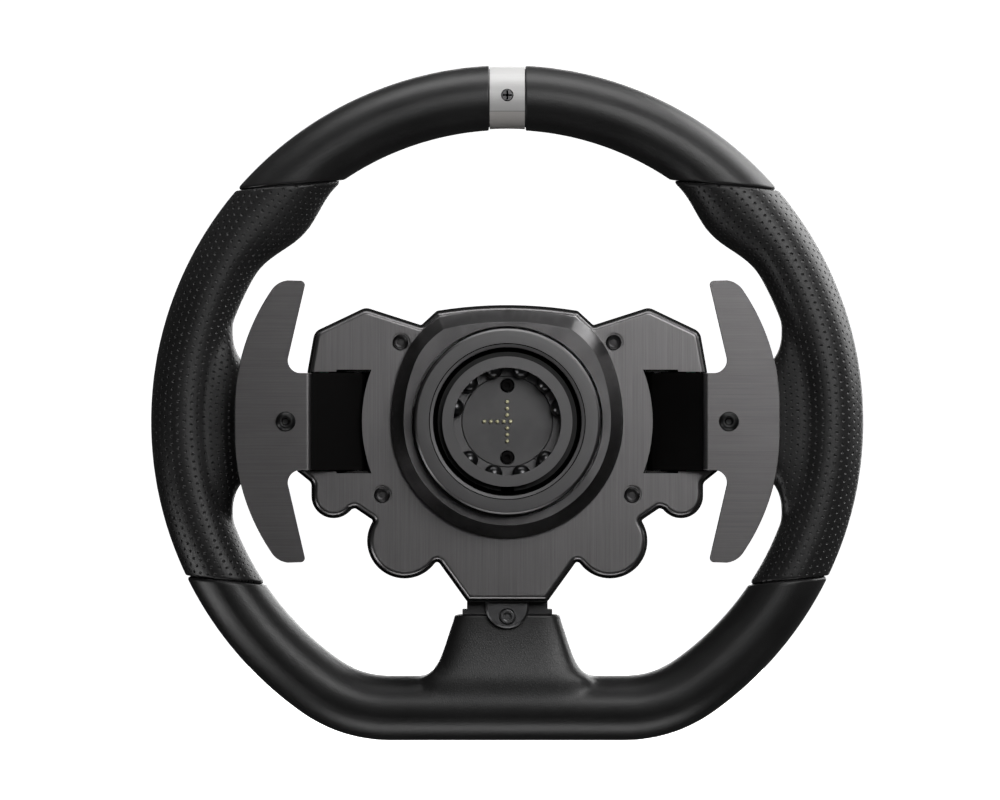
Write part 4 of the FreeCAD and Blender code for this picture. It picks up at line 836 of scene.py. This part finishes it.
def centres(node):
    """The middle of each separate body of a node's mesh. Corners at one place count as one. Each place
    takes the lowest number in its triangles until none changes, and then a body shares one number."""
    mesh = NODES[node].data
    corners = array_of(mesh.loops, "vertex_index", 1, np.int32)[:, 0]
    places, same = np.unique(np.round(array_of(mesh.vertices, "co", 3) / MM, 3), axis=0, return_inverse=True)
    triangles = same.ravel()[corners].reshape(-1, 3)
    body, last = np.arange(len(places)), None
    while last is None or (body != last).any():
        last = body
        body = last.copy()
        np.minimum.at(body, triangles, last[triangles].min(axis=1)[:, None])
        body = body[body]
    return [(places[body == n].min(axis=0) + places[body == n].max(axis=0)) / 2 for n in np.unique(body)]


def softened(name, node, width, sharp=35):
    """A node's shape with its flat faces merged and its edges rounded by a bevel of that width."""
    work = bmesh.new()
    work.from_mesh(NODES[node].data)
    bmesh.ops.remove_doubles(work, verts=work.verts, dist=2e-6)
    bmesh.ops.dissolve_limit(work, angle_limit=math.radians(0.5), verts=work.verts, edges=work.edges)
    mesh = bpy.data.meshes.new(name)
    work.to_mesh(mesh)
    work.free()
    return piece(name, mesh, [node], sharp=sharp, bevel=width)


def screw_rows(head, dish, recess, shape, length, shank, thick, edge=0.25):
    """A screw's profile: a recess of that radius, a head whose face falls by dish towards the middle as a
    parabola, and a shank."""
    depth = 1.1
    floor = min(recess, shank * 0.9)
    face = [(floor, depth, shape), (recess, dish + 0.08, shape), (recess + 0.12, dish, shape)]
    arc = np.linspace(0.25, 1, 6)
    dished = [(float(recess + 0.3 + (head - edge - recess - 0.3) * k), float(dish * (1 - k**2))) for k in arc]
    rim = [(head - edge * 0.3, edge * 0.3), (head, edge), (head, thick)]
    return [(0, depth)] + face + dished + rim + [(shank, thick), (shank, length), (0, length)]


class WheelScrews(bpy.types.Operator):
    """Turns the screws that can be seen: dished sockets, domed paddle screws and the cross-head"""

    bl_idname = "wheel.screws"
    bl_label = "Screws"

    def execute(self, context):
        low = low_high("rear_plate_screws")[0][1]
        shapes = [turned(screw_rows(3.1, 0.75, 1.2, "hexagon", 15, 1.9, 0.9), (c[0], low, c[2]))
                  for c in centres("rear_plate_screws")]
        turned_piece("plate_screws", "rear_plate_screws", shapes, finish="grey_steel")
        low = low_high("contact_block_screws")[0][1]
        shapes = [turned(screw_rows(2.5, 0.0, 0.95, "hexagon", 9.8, 1.15, 2.0, 0.4), (c[0], low, c[2]))
                  for c in centres("contact_block_screws")]
        turned_piece("contact_screws", "contact_block_screws", shapes, finish="lever_metal")
        low, high = low_high("lower_spoke_screw")
        rows = screw_rows(high[0] - 0.3, 0.0, 1.4, "hexagon", high[1] - low[1], 1.55, 1.8, 0.2)
        turned_piece("spoke_screw", "lower_spoke_screw", [turned(rows, (0, low[1], (low[2] + high[2]) / 2))],
                     finish="dark_steel")
        low, high = low_high("top_band_screw")
        rows = screw_rows(high[0], -0.2, 1.75, "cross", high[1] - low[1] - 0.4, 1.0, 0.75, 0.2)
        turned_piece("band_screw", "top_band_screw",
                     [turned(rows, (0, low[1] + 0.4, (low[2] + high[2]) / 2), count=144)],
                     finish="band_screw")
        for side in ("left", "right"):
            low, high = low_high(f"{side}_paddle_screw")
            r, length = (high[0] - low[0]) / 2, high[1] - low[1]
            rows = rounded([(0, 1.5), (1.3, 1.45), (1.45, 0.35), (1.6, 0.15), (2.4, 0.0), (r - 0.5, 0.75),
                            (r, 1.6), (r, 1.9), (1.6, 1.9), (1.6, length), (0, length)], 0.35)
            turned_piece(f"{side}_wing_screw", f"{side}_paddle_screw",
                         [turned(rows, ((low[0] + high[0]) / 2, low[1], 0))])
        return {"FINISHED"}


class WheelQuickRelease(bpy.types.Operator):
    """Turns the release sleeve, the locking balls and the spring contacts"""

    bl_idname = "wheel.quick_release"
    bl_label = "Quick release"

    def execute(self, context):
        low, high = low_high("release_sleeve")
        r, y, end = high[0], low[1], high[1]
        bore, web = 28.7, 25.6
        rows = [(bore, y + 0.55), (bore + 0.35, y + 0.1), (bore + 1.5, y), (bore + 1.52, y + 0.5),
                (bore + 1.86, y + 0.5), (bore + 1.88, y), (r - 1.1, y), (r - 0.75, y + 0.12),
                (r - 0.12, y + 0.75), (r, y + 1.1), (r, y + 4.0), (r - 0.25, y + 4.25), (r - 0.25, y + 5.2),
                (r, y + 5.45), (r, end - 0.3), (r - 0.3, end), (web + 0.1, end), (web, end - 0.1), (web, 7.4),
                (bore, 7.4), (bore, y + 0.55)]
        points, faces = turned(rows, (0, 0, 0), count=192)
        piece("sleeve", mesh_from("sleeve", points, faces), ["release_sleeve"], sharp=28)
        shapes = []
        polar = np.linspace(0, math.pi, 33)
        for c in centres("locking_balls"):
            shapes.append(turned([(3.6 * math.sin(a), -3.6 * math.cos(a)) for a in polar], c, count=64))
        turned_piece("balls", "locking_balls", shapes, sharp=80)
        low, high = low_high("contact_pins")
        r, length = 0.72, high[1] - low[1]
        rows = [(r * math.sin(a), r - r * math.cos(a)) for a in np.linspace(0, math.pi / 2, 9)]
        rows += [(r, length), (0, length)]
        shapes = [turned(rows, (c[0], low[1], c[2]), count=32) for c in centres("contact_pins")]
        turned_piece("pins", "contact_pins", shapes)
        softened("socket", "quick_release_socket", 0.22)
        softened("contacts_holder", "contact_block", 0.12)
        return {"FINISHED"}


class WheelButtons(bpy.types.Operator):
    """Turns the crowned buttons and the badge, and rounds the thumb sticks"""

    bl_idname = "wheel.buttons"
    bl_label = "Buttons and sticks"

    def execute(self, context):
        for node in NODES:
            if node.endswith("_button"):
                low, high = low_high(node)
                at = ((low[0] + high[0]) / 2, high[1], (low[2] + high[2]) / 2)
                flange, deep = (high[0] - low[0]) / 2, high[1] - low[1]
                r = flange - 0.8
                dish = [(r * k, 0.75 * (1 - (k / 0.72) ** 2)) for k in np.linspace(0, 0.72, 7)]
                rows = rounded([*dish[:-1], (r * 0.72, 0.0), (r - 0.5, 0.0), (r, 0.9), (r, deep - 1.3),
                                (flange, deep - 1.3), (flange, deep), (0, deep)], 0.5)
                turned_piece(f"{node}_cap", node, [turned(rows, at, -1)])
        high, deep = low_high("centre_badge")[1], 2.6
        rows = rounded([(0, 0.0), (15.2, 0.0), (15.5, 0.5), (16.5, 0.5), (16.8, 0.0), (20.1, 0.0),
                        (high[0], 0.9), (high[0], deep), (0, deep)], 0.3)
        turned_piece("badge", "centre_badge", [turned(rows, (0, high[1], 0), -1, 144)])
        for side in ("left", "right"):
            softened(f"{side}_stick", f"{side}_thumb_stick", 0.3)
        return {"FINISHED"}


SOFT_EDGES = {  # piece, the node it stands for, and the width of the rounding
    "hub_cover": ("hub_dome", 0.3),
    "tab": ("lower_spoke_tab", 0.15),
    "collar": ("lower_spoke_collar", 0.35),
    "fascia": ("front_fascia", 0.3),
    "shell": ("front_shell", 0.35),
    "lens": ("shift_light_lens", 0.3),
    "left_wing": ("left_paddle_wing", 0.25),
    "left_lever": ("left_paddle_lever", 0.3),
    "right_wing": ("right_paddle_wing", 0.25),
    "right_lever": ("right_paddle_lever", 0.3),
}


class WheelCovers(bpy.types.Operator):
    """Rounds the edges of the shell, the hub cover, the paddles, the tab, the collar and the fascia"""

    bl_idname = "wheel.covers"
    bl_label = "Covers and paddles"

    def execute(self, context):
        for name, (node, width) in SOFT_EDGES.items():
            softened(name, node, width)
        return {"FINISHED"}


# ---------------------------------------------------------------- finishes for the CAD nodes
class WheelFinishes(bpy.types.Operator):
    """Gives every CAD node that is still shown its finish"""

    bl_idname = "wheel.finishes"
    bl_label = "Finishes"

    def execute(self, context):
        for name, node in NODES.items():
            node.data.materials.clear()
            node.data.materials.append(finish_of(SLOT_OF[name]))
        return {"FINISHED"}


# ---------------------------------------------------------------- stage
def area_light(name, direction, distance, size, power):
    """A soft rectangular lamp that points at the wheel from a direction."""
    target = (0, 0.03, 0)
    data = bpy.data.lights.new(name, "AREA")
    data.shape = "RECTANGLE"
    data.size, data.size_y = size
    data.energy = power * bpy.context.scene.wheel_stage.light
    lamp = bpy.data.objects.new(name, data)
    bpy.context.scene.collection.objects.link(lamp)
    away = Vector(direction).normalized()
    lamp.location = Vector(target) + away * distance
    lamp.rotation_euler = away.to_track_quat("Z", "Y").to_euler()
    lamp.visible_camera = False
    return lamp


def from_camera(angle, clock):
    """A direction that far from the camera's side of the axis, in degrees, towards that clock angle,
    in degrees clockwise from the top as seen from behind the wheel."""
    a, c = math.radians(angle), math.radians(clock)
    return (math.sin(a) * math.sin(c), -math.cos(a), math.sin(a) * math.cos(c))


LAMPS = {  # direction, distance and size in metres, power in watts
    "key": (from_camera(27, 40), 0.95, (0.5, 0.42), 4.3),
    "rear_right": (from_camera(110, 55), 1.3, (1.1, 1.1), 21),
    "top": (from_camera(85, 0), 1.2, (1.2, 0.6), 10),
    "left_low": (from_camera(75, -120), 1.2, (0.9, 0.35), 4.5),
    "below": (from_camera(82, 180), 1.2, (1.2, 0.4), 5.5),
    "front_fill": ((0.15, 1, 0.2), 1.6, (1.2, 0.9), 13),
}


class WheelStage(bpy.types.Operator):
    """Sets up the camera, the lamps, the pale world and the floor"""

    bl_idname = "wheel.stage"
    bl_label = "Stage"

    def execute(self, context):
        scene = context.scene
        settings = scene.wheel_stage
        camera_data = bpy.data.cameras.new("camera")
        camera_data.sensor_width = 36
        camera_data.lens = 36 * settings.distance / settings.across
        camera = bpy.data.objects.new("camera", camera_data)
        scene.collection.objects.link(camera)
        camera.location = (-2.85 * MM, RIM_Y * MM - settings.distance, 8.4 * MM)
        camera.rotation_euler = (math.pi / 2, 0, 0)
        camera_data.clip_start, camera_data.clip_end = 0.5, 100
        scene.camera = camera
        for name, (direction, away, size, power) in LAMPS.items():
            area_light(name, direction, away, size, power)
        self.world(scene)
        self.floor(scene)
        scene.view_settings.view_transform = "Standard"
        scene.view_settings.look = "None"
        return {"FINISHED"}

    def world(self, scene):
        """White to the camera, and dim and even for everything else."""
        scene.world = bpy.data.worlds.new("studio")
        net = Net("studio", scene.world)
        to_camera = net.node("ShaderNodeLightPath", output="Is Camera Ray")
        strength = net.node("ShaderNodeMapRange", {}, {"Value": to_camera, "To Min": 0.05, "To Max": 1.2})
        background = net.node("ShaderNodeBackground", {}, {"Strength": strength})
        net.node("ShaderNodeOutputWorld", {}, {"Surface": background})

    def floor(self, scene):
        """A pale disc under the rim's flat that turns up into a wall far away."""
        radius = np.array([0, 0.6, 2, 5, 9, 12, 13.2, 13.8, 14])[:, None] * 1000
        height = np.array([0, 0, 0, 0, 0, 0.25, 0.9, 2.2, 9])[:, None] * 1000
        turn = np.linspace(0, 2 * math.pi, 64, endpoint=False)[None, :]
        ground = FLAT_Z - 0.5
        points = np.stack([radius * np.cos(turn), radius * np.sin(turn), ground + height + 0 * turn], axis=-1)
        mesh = bpy.data.meshes.new("floor")
        faces = grid_faces(*points.shape[:2], False, True)
        mesh.from_pydata((points.reshape(-1, 3) * MM).tolist(), [], faces.tolist())
        mesh.shade_smooth()
        floor = bpy.data.objects.new("floor", mesh)
        scene.collection.objects.link(floor)
        net = Net("pale_floor")
        speck = net.noise(net.place(), 0.01)
        tint = net.mix(speck, (0.9, 0.9, 0.9), (0.94, 0.94, 0.94))
        mesh.materials.append(net.finish({"Base Color": tint}, roughness=0.9, emission_color=(1, 1, 1),
                                         emission_strength=1.1))
        floor.visible_diffuse = False
        floor.visible_glossy = False


OPERATORS = (WheelFinishes, WheelLeather, WheelQuickRelease, WheelScrews, WheelButtons, WheelCovers,
             WheelStage)
SETTINGS = {"wheel_leather": WheelLeatherSettings, "wheel_metal": WheelMetalSettings,
            "wheel_stage": WheelStageSettings}


class WheelPanel(bpy.types.Panel):
    """Lists the wheel's operators and their settings"""

    bl_idname = "VIEW3D_PT_wheel"
    bl_label = "Racing wheel"
    bl_space_type = "VIEW_3D"
    bl_region_type = "UI"
    bl_category = "Wheel"

    def draw(self, context):
        for group, kind in SETTINGS.items():
            box = self.layout.box()
            for name in kind.__annotations__:
                box.prop(getattr(context.scene, group), name)
        for operator in OPERATORS:
            self.layout.operator(operator.bl_idname)


def register():
    for kind in (*SETTINGS.values(), *OPERATORS, WheelPanel):
        bpy.utils.register_class(kind)
    for name, kind in SETTINGS.items():
        setattr(bpy.types.Scene, name, bpy.props.PointerProperty(type=kind))


def unregister():
    for name in SETTINGS:
        delattr(bpy.types.Scene, name)
    for kind in (WheelPanel, *reversed(OPERATORS), *SETTINGS.values()):
        bpy.utils.unregister_class(kind)


def main():
    register()
    for operator in OPERATORS:
        group, name = operator.bl_idname.split(".")
        getattr(getattr(bpy.ops, group), name)()


if __name__ == "__main__":
    main()
